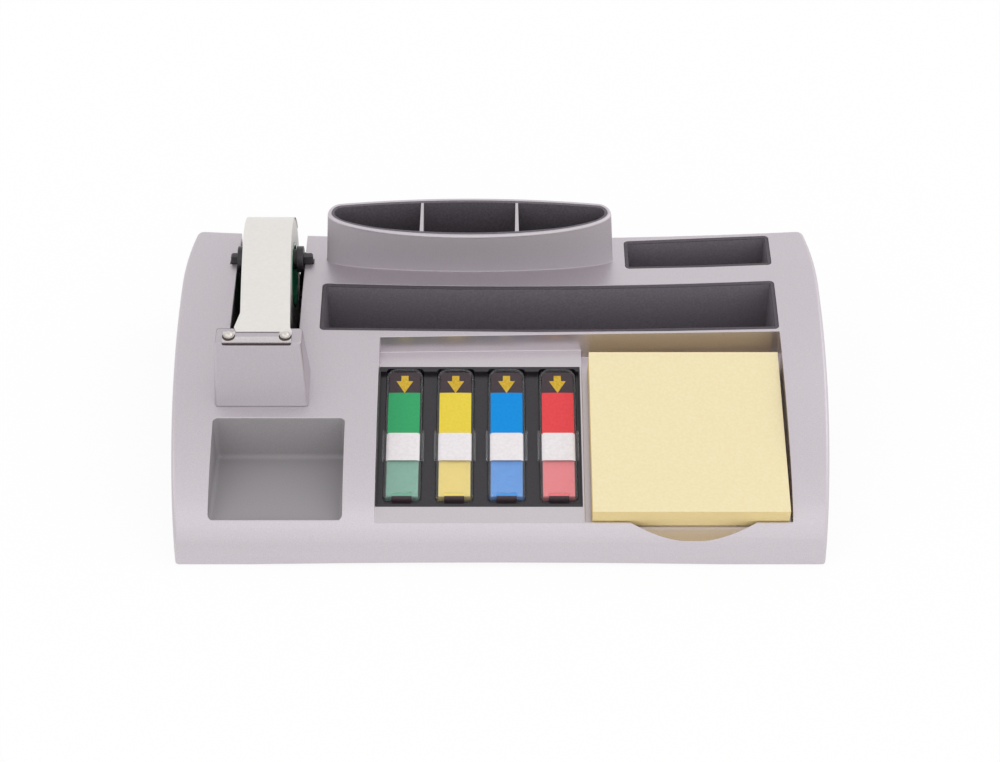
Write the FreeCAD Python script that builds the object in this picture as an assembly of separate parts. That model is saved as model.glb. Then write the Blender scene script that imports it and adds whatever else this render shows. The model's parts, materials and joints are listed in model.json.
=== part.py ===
"""Desk organizer: arched silver housing with a tape dispenser, pencil cup,
open bins, four flag dispensers and a note pad.

Millimetres. While the pieces are built, x runs to the right from the middle of
the housing, y runs back from its front edge and z runs up from its lower edge.
At export they move to the part's own frame, whose origin is the middle of the
footprint on the desk.
"""
import FreeCAD, Part
import math
import os

V = FreeCAD.Vector
X_AXIS = V(1, 0, 0)

# Housing
DEPTH = 153.0            # front edge to the rear corners
ARCH_RUN = 155.0         # half length of the ellipse that the top follows
ARCH_RISE = 48.1         # its half height: the deck's height at the back
ARCH_ARCS = 7            # the ellipse is drawn as this many arcs
FRONT_HALF = 126.0       # half width at the front edge
WIDEST_HALF = 131.5      # half width where the ends bulge most
WIDEST_Y = 118.0
REAR_HALF = 127.8        # half width at the rear corners
REAR_SAG = 4.9           # how far the rear edge bows forward in its middle
REAR_CORNER = 3.0        # upright corners at the rear
REAR_ROUND = 1.6         # edge between deck and rear wall
SKIN = 2.0               # wall of the housing
LINER = 1.6              # wall of the dark inner mouldings
LINER_DROP = 0.2         # their rims lie this far below the deck
STAND = 0.8              # the feet hold the housing this far off the desk
SIDE_MARGIN = 113.1      # outer edge of every opening, from the middle

# Long bin and rear bin
LONG_LEFT = -73.3
LONG_FRONT_Y = (90.9, 89.7, 91.5)      # left end, middle, right end
LONG_REAR_Y = (118.0, 116.2, 119.6)
REAR_BIN_LEFT = 52.0
REAR_BIN_FRONT_Y = (127.1, 128.0, 129.7)
REAR_BIN_REAR_Y = (145.2, 147.0, 149.2)
BIN_FLOOR = 6.0
BIN_CORNER = 1.8

# Front bin
FRONT_BIN_RIGHT = -61.2
FRONT_BIN_Y = (8.5, 47.0)
FRONT_BIN_FLOOR = 13.9
FRONT_BIN_ROUND = 1.8    # its corners, and between its floor and walls

# Sloping recess for flags and notes: its floor rises to the rear
SLOPE = 14.4             # degrees
SLOPE_Y = 88.0           # foot of the rear wall
SLOPE_Z = 35.5
RECESS_LEFT = -48.6
RECESS_REAR_Y = (86.9, 88.0, 90.1)
LEDGE = 8.5              # shelf behind the flag tray, along the slope
TRAY_FRONT = 75.4        # front end of the flag tray, along the slope
TRAY_RIGHT = 32.0
TRAY_DEPTH = 8.3
TRAY_RIM = 0.4           # raised edge along both sides of the tray
TRAY_STEP = 2.0          # how far the tray's top lies below that edge
POCKET_LEFT = 32.9
POCKET_DEPTH = 3.8
POCKET_FRONT = 82.3
PAD = 76.2               # side of the square note pad
PAD_THICK = 10.0
PAD_LEFT = 35.6
PAD_REAR = 5.8           # from the rear wall, along the slope

# Thumb notch in the front lip: its hollow floor rises to the floor of the pocket
SCOOP_X = (50.6, 98.8)
SCOOP_RADIUS = 63.6      # its front wall, seen from above
SCOOP_FLOOR = ((3.0, 9.55), (6.43, 10.07), (9.6, 11.45))     # y and z of the floor's arc

# Flag dispensers
FLAG_COLOURS = ("green", "yellow", "blue", "red")
FLAG_FIRST_X = -38.4
FLAG_PITCH = 20.45
CASE_WIDTH = 14.5
CASE_REAR = 9.8
CASE_FRONT = 71.6
CASE_TOP = 0.4           # above the recess floor
CASE_HEIGHT = 7.2
CASE_WALL = 0.8
CASE_BACK_ROUND = 4.5
CASE_FRONT_ROUND = 1.5
WING = 0.95              # how far the grip wings stand out beside the case
WING_THICK = 1.9
NOTCH = (8.0, 3.6, 1.9)  # finger notch in the front wall: width, length, depth
STACK = (12.4, 24.0, 70.4)       # width, rear and front end of the waiting flags
FLAG_WIDTH = 12.9
TAB_REAR = 21.3
BAND_REAR = 40.1
BAND_FRONT = 53.4

# Pencil cup
CUP_X = -12.7
CUP_RIM_Z = 70.8
CUP_TILT = 6.2           # degrees, the rim is lower at the front
CUP_RIM = (58.4, 14.7, 9.2)      # half width, to the front, to the rear
CUP_RIM_Y = 134.3
CUP_BASE = (59.6, 7.6, 12.0)
CUP_BASE_Y = 132.8
CUP_CORNER = 6.1         # radius of the rear corners
CUP_ARCS = (0, 8, 24, 55, 125, 156, 172, 180)     # degrees round the front half ellipse
CUP_WALL = 1.5
CUP_LINER = 1.2
CUP_FLOOR = 4.0
CUP_NECK_Z = 45.5        # below this the cup is a straight well
CUP_FOOT = ((46.8, 2.4), (48.8, 0.8), (50.8, -0.4))   # height and flare of the hollow foot
DIVIDER_X = 19.5         # from the middle of the cup
DIVIDER = (0.9, 1.7)     # its thickness at the rear and at the front
DIVIDER_Y = (118.0, 146.0)
RIM_DROP = 0.15          # liner and dividers end this far below the rim

# Tape dispenser
WELL = (-109.5, -81.5)
WELL_FRONT = 88.0
WELL_REAR = 147.0
WELL_FLOOR = 12.0
WELL_REAR_TOP = 16.0     # low wall at the rear, under the roll
WELL_ROUND = 8.0
AXLE_Y = 131.6
AXLE_Z = 48.8
AXLE_X = (-112.2, -78.0)
TANG = (3.0, 4.4)        # flats at the axle's ends, along y and z
FLANGE_RADIUS = 5.5
FLANGE = 2.8
BARREL_RADIUS = 4.2
RUN_CLEARANCE = 0.1      # barrel to core
CORE_RADIUS = 12.7
CORE_WALL = 1.2
TAPE_RADIUS = 23.6
TAPE_X = (-105.0, -86.0)
STRIP = 0.3
STRIP_GAP = 0.35         # between the roll and the strip that leaves it
STRIP_RISE = 0.42        # degrees, up to the top of the cutter
STRIP_END_Y = 63.8
STRIP_END_X = (-103.9, -84.3)
ROLL_Z = AXLE_Z + BARREL_RADIUS + RUN_CLEARANCE - CORE_RADIUS

# Cutter
BLOCK_TOP = 64.4
BLOCK_FOOT_Z = 28.0      # below the deck, which cuts the block off
BLOCK_FOOT = (-113.3, -75.0, 50.6, 73.3)     # left, right, front, rear at its foot
BLOCK_HEAD = (-111.4, -77.4, 57.0, 66.4)     # at BLOCK_TOP
BLOCK_CORNER = 1.4
BLOCK_EDGE = 0.4
BLADE_X = (-108.3, -81.4)
BLADE_Y = (54.6, 60.2)
BLADE_ARM = 4.8
BLADE_ARM_Y = 63.3
BLADE = 0.5
TOOTH = 1.15
RIVET_Y = 61.0
RIVET_RADIUS = 2.0
RIVET_HEIGHT = 1.6

# Underside
PLATE = (0.3, 2.3)       # lower and upper face of the base plate
FOOT_RADIUS = 7.0
FOOT_SINK = 1.0
FEET = {"front_left": (-104, 20), "front_right": (104, 20),
        "rear_left": (-104, 126), "rear_right": (104, 132)}
SCREWS = ((-120, 60), (-56, 40), (118, 60), (-56, 78), (-66, 128), (120.5, 110))
BOSS_RADIUS = 3.6
SHANK_RADIUS = 1.3
SHANK_TOP = 12.0
HEAD_RADIUS = 2.8
HEAD_SINK = 1.0          # counterbore in the base plate
CROSS = (3.2, 0.6)       # length and width of the cross recess
RIBS = ((-110, 85.4), (-70, 122.0))          # left end and front face
RIB_RIGHT = 110.0
RIB_THICK = 1.6
RIB_TOP = 4.2
RELIEF_X = (-96.0, 85.0)
RELIEF_RISE = 0.9
BALLAST = (-44, 100, 40, 84)
BALLAST_THICK = 5.0

Y_MIDDLE = (AXLE_Y + TAPE_RADIUS) / 2.0      # the roll reaches furthest back
FAR = 400.0


def box(x0, x1, y0, y1, z0, z1):
    """An upright box between two corners."""
    return Part.makeBox(x1 - x0, y1 - y0, z1 - z0, V(x0, y0, z0))


def rod(radius, start, end):
    """A round bar from one point to another."""
    axis = end - start
    return Part.makeCylinder(radius, axis.Length, start, axis)


def upright_edges(shape):
    """The straight edges that run along z."""
    found = []
    for edge in shape.Edges:
        if edge.Curve.TypeId != "Part::GeomLine":
            continue
        direction = edge.tangentAt(edge.FirstParameter)
        if abs(direction.z) > 0.999:
            found.append(edge)
    return found


def on_slope(shape):
    """Moves a piece from (x, along the slope, off the slope) to its place."""
    moved = shape.copy()
    moved.rotate(V(0, 0, 0), X_AXIS, SLOPE)
    moved.translate(V(0, SLOPE_Y, SLOPE_Z))
    return moved


def bow(start, middle, end):
    """An arc through three points, or a line where they are straight."""
    if (middle - start).cross(end - middle).Length < 1e-6:
        return Part.LineSegment(start, end)
    return Part.Arc(start, middle, end)


def mirrored(point):
    return V(-point.x, point.y, point.z)


def plan_wire():
    """Outline of the housing seen from above."""
    front_right = V(FRONT_HALF, 0, 0)
    rear_right = V(REAR_HALF, DEPTH, 0)
    widest = V(WIDEST_HALF, WIDEST_Y, 0)
    half_way = WIDEST_Y / 2.0
    front_bulge = FRONT_HALF + (WIDEST_HALF - FRONT_HALF) * 0.75
    rear_way = (WIDEST_Y + DEPTH) / 2.0
    rear_bulge = REAR_HALF + (WIDEST_HALF - REAR_HALF) * 0.76
    right_front = Part.Arc(front_right, V(front_bulge, half_way, 0), widest)
    right_rear = Part.Arc(widest, V(rear_bulge, rear_way, 0), rear_right)
    rear = Part.Arc(rear_right, V(0, DEPTH - REAR_SAG, 0), mirrored(rear_right))
    left_rear = Part.Arc(mirrored(rear_right), V(-rear_bulge, rear_way, 0), mirrored(widest))
    left_front = Part.Arc(mirrored(widest), V(-front_bulge, half_way, 0), mirrored(front_right))
    front = Part.LineSegment(mirrored(front_right), front_right)
    parts = (right_front, right_rear, rear, left_rear, left_front, front)
    return Part.Wire([part.toShape() for part in parts])


def arched_body(inset):
    """Solid under the arch, with all its faces moved in by the inset."""
    plan = plan_wire()
    if inset:
        plan = plan.makeOffset2D(-inset)
    prism = Part.Face(plan).extrude(V(0, 0, ARCH_RISE + 5))

    def on_arch(way):
        """A point of the arch, from its foot (0) to the rear edge (1)."""
        angle = way * math.acos((ARCH_RUN - DEPTH) / (ARCH_RUN - inset))
        run = (ARCH_RUN - inset) * math.cos(angle)
        return V(0, ARCH_RUN - run, (ARCH_RISE - inset) * math.sin(angle))

    edges = []
    for part in range(ARCH_ARCS):
        start, middle, end = [(part + half) / ARCH_ARCS for half in (0, 0.5, 1)]
        edges.append(Part.Arc(on_arch(start), on_arch(middle), on_arch(end)).toShape())
    corners = [on_arch(1), V(0, DEPTH, -1), V(0, inset, -1), on_arch(0)]
    edges += [Part.makeLine(a, b) for a, b in zip(corners, corners[1:])]
    profile = Part.Face(Part.Wire(edges))
    profile.translate(V(-FRONT_HALF - 20, 0, 0))
    return prism.common(profile.extrude(V(2 * FRONT_HALF + 40, 0, 0)))


def bowed_prism(x0, x1, front, rear, z0, z1, corner):
    """Upright prism whose front and rear faces bow through three points."""
    middle = (x0 + x1) / 2.0
    front_arc = bow(V(x0, front[0], z0), V(middle, front[1], z0), V(x1, front[2], z0))
    rear_arc = bow(V(x1, rear[2], z0), V(middle, rear[1], z0), V(x0, rear[0], z0))
    right = Part.LineSegment(V(x1, front[2], z0), V(x1, rear[2], z0))
    left = Part.LineSegment(V(x0, rear[0], z0), V(x0, front[0], z0))
    wire = Part.Wire([c.toShape() for c in (front_arc, right, rear_arc, left)])
    solid = Part.Face(wire).extrude(V(0, 0, z1 - z0))
    return solid.makeFillet(corner, upright_edges(solid)) if corner else solid


def grown(values, amount):
    return tuple(value + amount for value in values)


def long_bin(grow, floor):
    return bowed_prism(LONG_LEFT - grow, SIDE_MARGIN + grow, grown(LONG_FRONT_Y, -grow),
                       grown(LONG_REAR_Y, grow), floor, FAR, BIN_CORNER + grow)


def rear_bin(grow, floor):
    return bowed_prism(REAR_BIN_LEFT - grow, SIDE_MARGIN + grow, grown(REAR_BIN_FRONT_Y, -grow),
                       grown(REAR_BIN_REAR_Y, grow), floor, FAR, BIN_CORNER + grow)


def front_bin():
    """Room in the small open bin, with round corners and a round floor edge."""
    room = box(-SIDE_MARGIN, FRONT_BIN_RIGHT, *FRONT_BIN_Y, FRONT_BIN_FLOOR, FAR)
    room = room.makeFillet(FRONT_BIN_ROUND, upright_edges(room))
    bottom = [e for e in room.Edges if abs(e.CenterOfMass.z - FRONT_BIN_FLOOR) < 0.01]
    return room.makeFillet(FRONT_BIN_ROUND, bottom)


def in_recess_plan(shape, grow):
    """The part of a shape that lies between the recess's ends and its bowed rear wall."""
    plan = bowed_prism(RECESS_LEFT - grow, SIDE_MARGIN + grow, (-FAR, -FAR, -FAR),
                       grown(RECESS_REAR_Y, grow), -FAR, FAR, 0)
    return shape.common(plan)


def recess(grow):
    """Wedge of air above the sloping floor."""
    air = on_slope(box(-FAR, FAR, -FAR, FAR, -grow, FAR))
    return in_recess_plan(air, grow)


def pocket(grow):
    """Deeper room for the note pad."""
    room = on_slope(box(POCKET_LEFT - grow, FAR, -POCKET_FRONT - grow, FAR,
                        -POCKET_DEPTH - grow, FAR))
    return in_recess_plan(room, grow)


def tray_hole():
    return on_slope(box(RECESS_LEFT, TRAY_RIGHT, -TRAY_FRONT, -LEDGE, -SLOPE_Z, FAR))


def well(grow, floor):
    return box(WELL[0] - grow, WELL[1] + grow, WELL_FRONT - grow, FAR, floor, FAR)


def scoop(grow):
    """Room for a thumb: round in front, straight at its sides, above the hollow floor."""
    (front, low), half_way, (rear, high) = SCOOP_FLOOR
    left, right = SCOOP_X
    middle = V((left + right) / 2, front + SCOOP_RADIUS, 0)
    room = rod(SCOOP_RADIUS + grow, middle, middle + V(0, 0, FAR))
    arc = Part.Arc(V(left - grow, front, low - grow), V(left - grow, half_way[0], half_way[1] - grow),
                   V(left - grow, rear, high - grow)).toShape()
    corners = [V(left - grow, y, z) for y, z in
               ((rear, high - grow), (rear + grow, high - grow), (rear + grow, FAR),
                (-FAR, FAR), (-FAR, low - grow), (front, low - grow))]
    if not grow:
        corners.pop(0)
    profile = [arc] + [Part.makeLine(a, b) for a, b in zip(corners, corners[1:])]
    air = Part.Face(Part.Wire(profile)).extrude(V(right - left + 2 * grow, 0, 0))
    return room.common(air)


def cup_wire(size, y, z, tilt, inset):
    """Closed outline: half an ellipse in front, drawn as arcs, and a flatter bow behind."""
    half = size[0] - inset
    front = size[1] - inset
    rear = size[2] - inset
    corner = CUP_CORNER - inset
    bend = ((half - corner) ** 2 + rear ** 2 - corner ** 2) / (2 * (rear - corner))
    turn = math.asin((half - corner) / (bend - corner))
    right = V(half, 0, 0)
    meet = V(bend * math.sin(turn), rear - bend + bend * math.cos(turn), 0)
    ease = (math.pi / 2 - turn) / 2
    swing = V(half - corner + corner * math.cos(ease), corner * math.sin(ease), 0)

    def on_ellipse(degrees):
        angle = math.radians(degrees)
        return V(-half * math.cos(angle), -front * math.sin(angle), 0)

    edges = []
    for start, end in zip(CUP_ARCS, CUP_ARCS[1:]):
        arc = Part.Arc(on_ellipse(start), on_ellipse((start + end) / 2), on_ellipse(end))
        edges.append(arc.toShape())
    edges += [Part.Arc(right, swing, meet).toShape(),
              Part.Arc(meet, V(0, rear, 0), mirrored(meet)).toShape(),
              Part.Arc(mirrored(meet), mirrored(swing), mirrored(right)).toShape()]
    wire = Part.Wire(edges)
    wire.rotate(V(0, 0, 0), X_AXIS, tilt)
    wire.translate(V(CUP_X, y, z))
    return wire


def cup_section(z, inset):
    """Outline of the leaning cup at a height, moved in by the inset."""
    lean = (CUP_RIM_Z - z) / (CUP_RIM_Z - ARCH_RISE)
    size = tuple(r + (b - r) * lean for r, b in zip(CUP_RIM, CUP_BASE))
    y = CUP_RIM_Y + (CUP_BASE_Y - CUP_RIM_Y) * lean
    level = (CUP_RIM_Z - z) / (CUP_RIM_Z - CUP_NECK_Z)
    return cup_wire(size, y, z, CUP_TILT * (1 - level), inset)


def cup_solid(inset, floor=None):
    """The leaning cup from inside the housing up to its rim."""
    low = cup_section(CUP_NECK_Z, inset)
    body = Part.makeLoft([low, cup_section(CUP_RIM_Z, inset)], True, True)
    if floor is not None:
        body = body.fuse(Part.Face(low).extrude(V(0, 0, floor - CUP_NECK_Z)))
    return body


def fine_outer():
    """The arched body with its rear and end edges rounded."""
    body = arched_body(0)
    corners = [e for e in upright_edges(body) if e.CenterOfMass.y > DEPTH - 1]
    body = body.makeFillet(REAR_CORNER, corners)
    rear_top = []
    for edge in body.Edges:
        span = edge.BoundBox
        if span.ZMin > ARCH_RISE - 1 and span.YMin > DEPTH - REAR_SAG - 1:
            rear_top.append(edge)
    return body.makeFillet(REAR_ROUND, rear_top)


OUTER = fine_outer()
INSIDE = arched_body(SKIN)


def housing_blank():
    """Outer skin with the walls of its own pockets, before they are opened."""
    shell = OUTER.cut(INSIDE)
    walls = box(-SIDE_MARGIN - SKIN, FRONT_BIN_RIGHT + SKIN, FRONT_BIN_Y[0] - SKIN,
                FRONT_BIN_Y[1] + SKIN, FRONT_BIN_FLOOR - SKIN, FAR)
    walls = walls.fuse([recess(SKIN), pocket(SKIN), scoop(SKIN)])
    return shell.fuse(walls.common(OUTER))


def screw_bosses():
    posts = []
    for x, y in SCREWS:
        post = rod(BOSS_RADIUS, V(x, y, PLATE[1]), V(x, y, ARCH_RISE)).common(OUTER)
        posts.append(post.cut(rod(SHANK_RADIUS, V(x, y, PLATE[1]), V(x, y, SHANK_TOP + 2))))
    return posts


def axle_notches():
    """Two seats for the axle's flats, beside the tape well."""
    wide = TANG[0] / 2 + 0.15
    low = AXLE_Z - TANG[1] / 2 - 0.05
    left = box(AXLE_X[0] - 0.3, WELL[0] + 1, AXLE_Y - wide, AXLE_Y + wide, low, FAR)
    right = box(WELL[1] - 1, AXLE_X[1] + 0.3, AXLE_Y - wide, AXLE_Y + wide, low, FAR)
    return left.fuse(right)


def skirt_relief():
    """Shallow arch under the front skirt."""
    left, right = V(RELIEF_X[0], -1, 0), V(RELIEF_X[1], -1, 0)
    top = V(sum(RELIEF_X) / 2, -1, RELIEF_RISE)
    low_left, low_right = left - V(0, 0, 1), right - V(0, 0, 1)
    wire = Part.Wire([Part.makeLine(low_left, left), Part.Arc(left, top, right).toShape(),
                      Part.makeLine(right, low_right), Part.makeLine(low_right, low_left)])
    return Part.Face(wire).extrude(V(0, 8, 0))


def top_shell():
    """The silver moulding: arch, ends, front bin, recess and note pocket."""
    shell = housing_blank().fuse(screw_bosses())
    openings = [long_bin(0, 0), rear_bin(0, 0), well(0, WELL_REAR_TOP),
                front_bin(), recess(0), pocket(0), tray_hole(),
                cup_solid(CUP_WALL, 0), scoop(0), axle_notches(), skirt_relief()]
    for opening in openings:
        shell = shell.cut(opening)
    return shell


def cup_shell():
    """Silver wall of the pencil cup, with a hollow-flared foot that stands on the deck."""
    sections = [cup_section(z, -flare) for z, flare in CUP_FOOT]
    foot = Part.makeLoft(sections, True, False)
    return cup_solid(0).fuse(foot).cut(cup_solid(CUP_WALL)).cut(OUTER)


def under_rim(gap):
    """Everything lower than the cup's tilted rim."""
    block = box(-FAR, FAR, -FAR, FAR, -FAR, -gap)
    block.rotate(V(0, 0, 0), X_AXIS, CUP_TILT)
    block.translate(V(CUP_X, CUP_RIM_Y, CUP_RIM_Z))
    return block


def cup_liner():
    """Dark inner cup with its floor."""
    outer = cup_solid(CUP_WALL, CUP_FLOOR - CUP_LINER)
    inner = cup_solid(CUP_WALL + CUP_LINER, CUP_FLOOR)
    return outer.cut(inner).common(under_rim(RIM_DROP))


def cup_divider(side):
    """Upright plate across the cup, thicker towards the front."""
    middle = CUP_X + side * DIVIDER_X
    thin, thick = DIVIDER
    front, rear = DIVIDER_Y
    corners = [V(middle - thick / 2, front, CUP_FLOOR), V(middle + thick / 2, front, CUP_FLOOR),
               V(middle + thin / 2, rear, CUP_FLOOR), V(middle - thin / 2, rear, CUP_FLOOR)]
    plate = Part.Face(Part.makePolygon(corners + corners[:1])).extrude(V(0, 0, FAR))
    return plate.common(cup_solid(CUP_WALL + CUP_LINER, CUP_FLOOR)).common(under_rim(RIM_DROP))


def storage_tray():
    """Dark moulding whose long bin and rear bin line their openings up to the deck."""
    low = BIN_FLOOR - LINER
    bridge = box(REAR_BIN_LEFT, SIDE_MARGIN, LONG_REAR_Y[1], REAR_BIN_FRONT_Y[2], low, BIN_FLOOR)
    tray = long_bin(0, low).fuse([rear_bin(0, low), bridge]).common(arched_body(LINER_DROP))
    return tray.cut(long_bin(-LINER, BIN_FLOOR)).cut(rear_bin(-LINER, BIN_FLOOR))


def well_liner():
    """Black trough that the tape roll hangs in, open above its low rear wall."""
    trough = well(LINER, WELL_FLOOR - LINER).common(INSIDE)
    hollow = box(WELL[0], WELL[1], WELL_FRONT, WELL_REAR, WELL_FLOOR, FAR)
    bottom = [e for e in hollow.Edges if abs(e.CenterOfMass.z - WELL_FLOOR) < 0.01
              and abs(e.tangentAt(e.FirstParameter).x) > 0.9]
    hollow = hollow.makeFillet(WELL_ROUND, bottom)
    return trough.cut(hollow).cut(well(0, WELL_REAR_TOP)).cut(axle_notches())


def base_plate():
    """Dark cover that closes the underside and carries the feet."""
    outline = plan_wire().makeOffset2D(-SKIN - 0.15)
    plate = Part.Face(outline).extrude(V(0, 0, PLATE[1] - PLATE[0]))
    plate.translate(V(0, 0, PLATE[0]))
    ribs = [box(left, RIB_RIGHT, y, y + RIB_THICK, PLATE[1], RIB_TOP) for left, y in RIBS]
    plate = plate.fuse(ribs).common(arched_body(SKIN + 0.15))
    for x, y in FEET.values():
        plate = plate.cut(rod(FOOT_RADIUS + 0.2, V(x, y, -5), V(x, y, PLATE[0] + FOOT_SINK)))
    for x, y in SCREWS:
        plate = plate.cut(rod(SHANK_RADIUS + 0.4, V(x, y, -5), V(x, y, 5)))
        plate = plate.cut(rod(HEAD_RADIUS + 0.3, V(x, y, -5), V(x, y, PLATE[0] + HEAD_SINK)))
    return plate


def rubber_foot(x, y):
    pad = rod(FOOT_RADIUS, V(x, y, -STAND), V(x, y, PLATE[0] + FOOT_SINK))
    low = [e for e in pad.Edges if e.BoundBox.ZMax < -STAND + 0.01]
    return pad.makeChamfer(0.5, low)


def base_screws():
    """Pan heads in their counterbores, with shanks in the bosses."""
    group = []
    for x, y in SCREWS:
        head = rod(HEAD_RADIUS, V(x, y, PLATE[0] + 0.1), V(x, y, PLATE[0] + HEAD_SINK))
        shank = rod(SHANK_RADIUS, V(x, y, PLATE[0] + 0.5), V(x, y, SHANK_TOP))
        screw = head.fuse(shank)
        for long, wide in (CROSS, CROSS[::-1]):
            slot = box(x - long / 2, x + long / 2, y - wide / 2, y + wide / 2, 0, PLATE[0] + 0.6)
            screw = screw.cut(slot)
        group.append(screw)
    return Part.makeCompound(group)


def ballast_plate():
    x0, x1, y0, y1 = BALLAST
    plate = box(x0, x1, y0, y1, PLATE[1], PLATE[1] + BALLAST_THICK)
    return plate.makeFillet(4, upright_edges(plate))


def tapered_block(inset, top):
    """Block with flat sides that lean in from below the deck to its head."""
    foot_left, foot_right, foot_front, foot_rear = BLOCK_FOOT
    head_left, head_right, head_front, head_rear = BLOCK_HEAD
    block = Part.makeWedge(foot_left + inset, BLOCK_FOOT_Z, -foot_rear + inset,
                           -head_rear + inset, head_left + inset,
                           foot_right - inset, top, -foot_front - inset,
                           -head_front - inset, head_right - inset)
    block.rotate(V(0, 0, 0), X_AXIS, 90)
    return block


def cutter_block():
    """Hollow pedestal on the deck that carries the blade."""
    solid = tapered_block(0, BLOCK_TOP)
    sides = [e for e in solid.Edges if e.BoundBox.ZLength > 20]
    solid = solid.makeFillet(BLOCK_CORNER, sides)
    top = [e for e in solid.Edges if e.BoundBox.ZMin > BLOCK_TOP - 0.01]
    solid = solid.makeChamfer(BLOCK_EDGE, top)
    return solid.cut(tapered_block(SKIN, BLOCK_TOP - SKIN)).cut(OUTER)


def cutter_blade():
    """Strip of steel with a saw edge in front and an arm at each end."""
    left, right = BLADE_X
    front, back = BLADE_Y
    count = int(round((right - left) / TOOTH))
    pitch = (right - left) / count
    points = [V(left, BLADE_ARM_Y, 0), V(left, front + TOOTH / 2, 0)]
    for i in range(count):
        points.append(V(left + (i + 0.5) * pitch, front - TOOTH / 2, 0))
        points.append(V(left + (i + 1) * pitch, front + TOOTH / 2, 0))
    points += [V(right, BLADE_ARM_Y, 0), V(right - BLADE_ARM, BLADE_ARM_Y, 0),
               V(right - BLADE_ARM, back, 0), V(left + BLADE_ARM, back, 0),
               V(left + BLADE_ARM, BLADE_ARM_Y, 0)]
    outline = Part.Face(Part.makePolygon(points + points[:1]))
    blade = outline.extrude(V(0, 0, BLADE))
    blade.translate(V(0, 0, BLOCK_TOP))
    return blade


def blade_rivets():
    """Two domed rivets that hold the blade's arms down."""
    group = []
    for x in (BLADE_X[0] + BLADE_ARM / 2, BLADE_X[1] - BLADE_ARM / 2):
        top = BLOCK_TOP + BLADE
        head = rod(RIVET_RADIUS, V(x, RIVET_Y, top), V(x, RIVET_Y, top + RIVET_HEIGHT))
        rim = [e for e in head.Edges if e.BoundBox.ZMin > top + RIVET_HEIGHT - 0.1]
        group.append(head.makeChamfer(RIVET_HEIGHT / 2, rim))
    return Part.makeCompound(group)


def bay(x):
    """Room for one dispenser in the flag tray."""
    half = CASE_WIDTH / 2 + 0.3
    hollow = box(x - half, x + half, -CASE_FRONT - 0.3, -CASE_REAR + 0.3,
                 CASE_TOP - CASE_HEIGHT - 0.3, FAR)
    return hollow.makeFillet(CASE_FRONT_ROUND, upright_edges(hollow))


def flag_tray():
    """Black insert with one bay for each dispenser."""
    tray = box(RECESS_LEFT, TRAY_RIGHT, -TRAY_FRONT, -LEDGE, -TRAY_DEPTH, 0)
    lowered = box(RECESS_LEFT + TRAY_RIM, TRAY_RIGHT - TRAY_RIM, -TRAY_FRONT + 1,
                  -CASE_REAR - 1, -TRAY_STEP, FAR)
    tray = tray.cut(lowered)
    for number in range(len(FLAG_COLOURS)):
        tray = tray.cut(bay(FLAG_FIRST_X + number * FLAG_PITCH))
    return on_slope(tray)


def flag_case(x):
    """Clear tub with a round back, grip wings and a cover over its front."""
    half = CASE_WIDTH / 2
    low = CASE_TOP - CASE_HEIGHT
    tub = box(x - half, x + half, -CASE_FRONT, -CASE_REAR, low, CASE_TOP)
    back = [e for e in upright_edges(tub) if e.CenterOfMass.y > -CASE_REAR - 1]
    tub = tub.makeFillet(CASE_BACK_ROUND, back)
    front = [e for e in upright_edges(tub) if e.CenterOfMass.y < -CASE_FRONT + 1]
    tub = tub.makeFillet(CASE_FRONT_ROUND, front)
    wings = box(x - half - WING, x + half + WING, -BAND_FRONT, -BAND_REAR,
                CASE_TOP - WING_THICK, CASE_TOP)
    hollow = box(x - half + CASE_WALL, x + half - CASE_WALL, -CASE_FRONT + CASE_WALL,
                 -CASE_REAR - CASE_WALL, low + CASE_WALL, FAR)
    hollow = hollow.makeFillet(CASE_BACK_ROUND - CASE_WALL,
                               [e for e in upright_edges(hollow)
                                if e.CenterOfMass.y > -CASE_REAR - 2])
    inset = CASE_WALL / 2
    cover = box(x - half + inset, x + half - inset, -CASE_FRONT + inset, -BAND_FRONT,
                CASE_TOP - CASE_WALL, CASE_TOP)
    wide, long, deep = NOTCH
    notch = box(x - wide / 2, x + wide / 2, -CASE_FRONT - 1, -CASE_FRONT - 1 + long,
                CASE_TOP - deep, FAR)
    return on_slope(tub.fuse(wings).cut(hollow).fuse(cover).cut(notch))


def flag_stack(x):
    """The flags that wait inside the case."""
    wide, rear, front = STACK
    low = CASE_TOP - CASE_HEIGHT + CASE_WALL
    return on_slope(box(x - wide / 2, x + wide / 2, -front, -rear,
                        low, CASE_TOP - CASE_WALL - 0.1))


def flag_band(x):
    """White strip across the middle of the case."""
    half = FLAG_WIDTH / 2
    return on_slope(box(x - half, x + half, -BAND_FRONT, -BAND_REAR, CASE_TOP, CASE_TOP + 0.3))


def flag_tab(x):
    """The coloured end of the flag that is next to be pulled."""
    half = FLAG_WIDTH / 2
    return on_slope(box(x - half, x + half, -BAND_REAR, -TAB_REAR, CASE_TOP, CASE_TOP + 0.3))


def note_pad():
    return on_slope(box(PAD_LEFT, PAD_LEFT + PAD, -PAD_REAR - PAD, -PAD_REAR,
                        -POCKET_DEPTH + 0.3, -POCKET_DEPTH + 0.3 + PAD_THICK))


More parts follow.
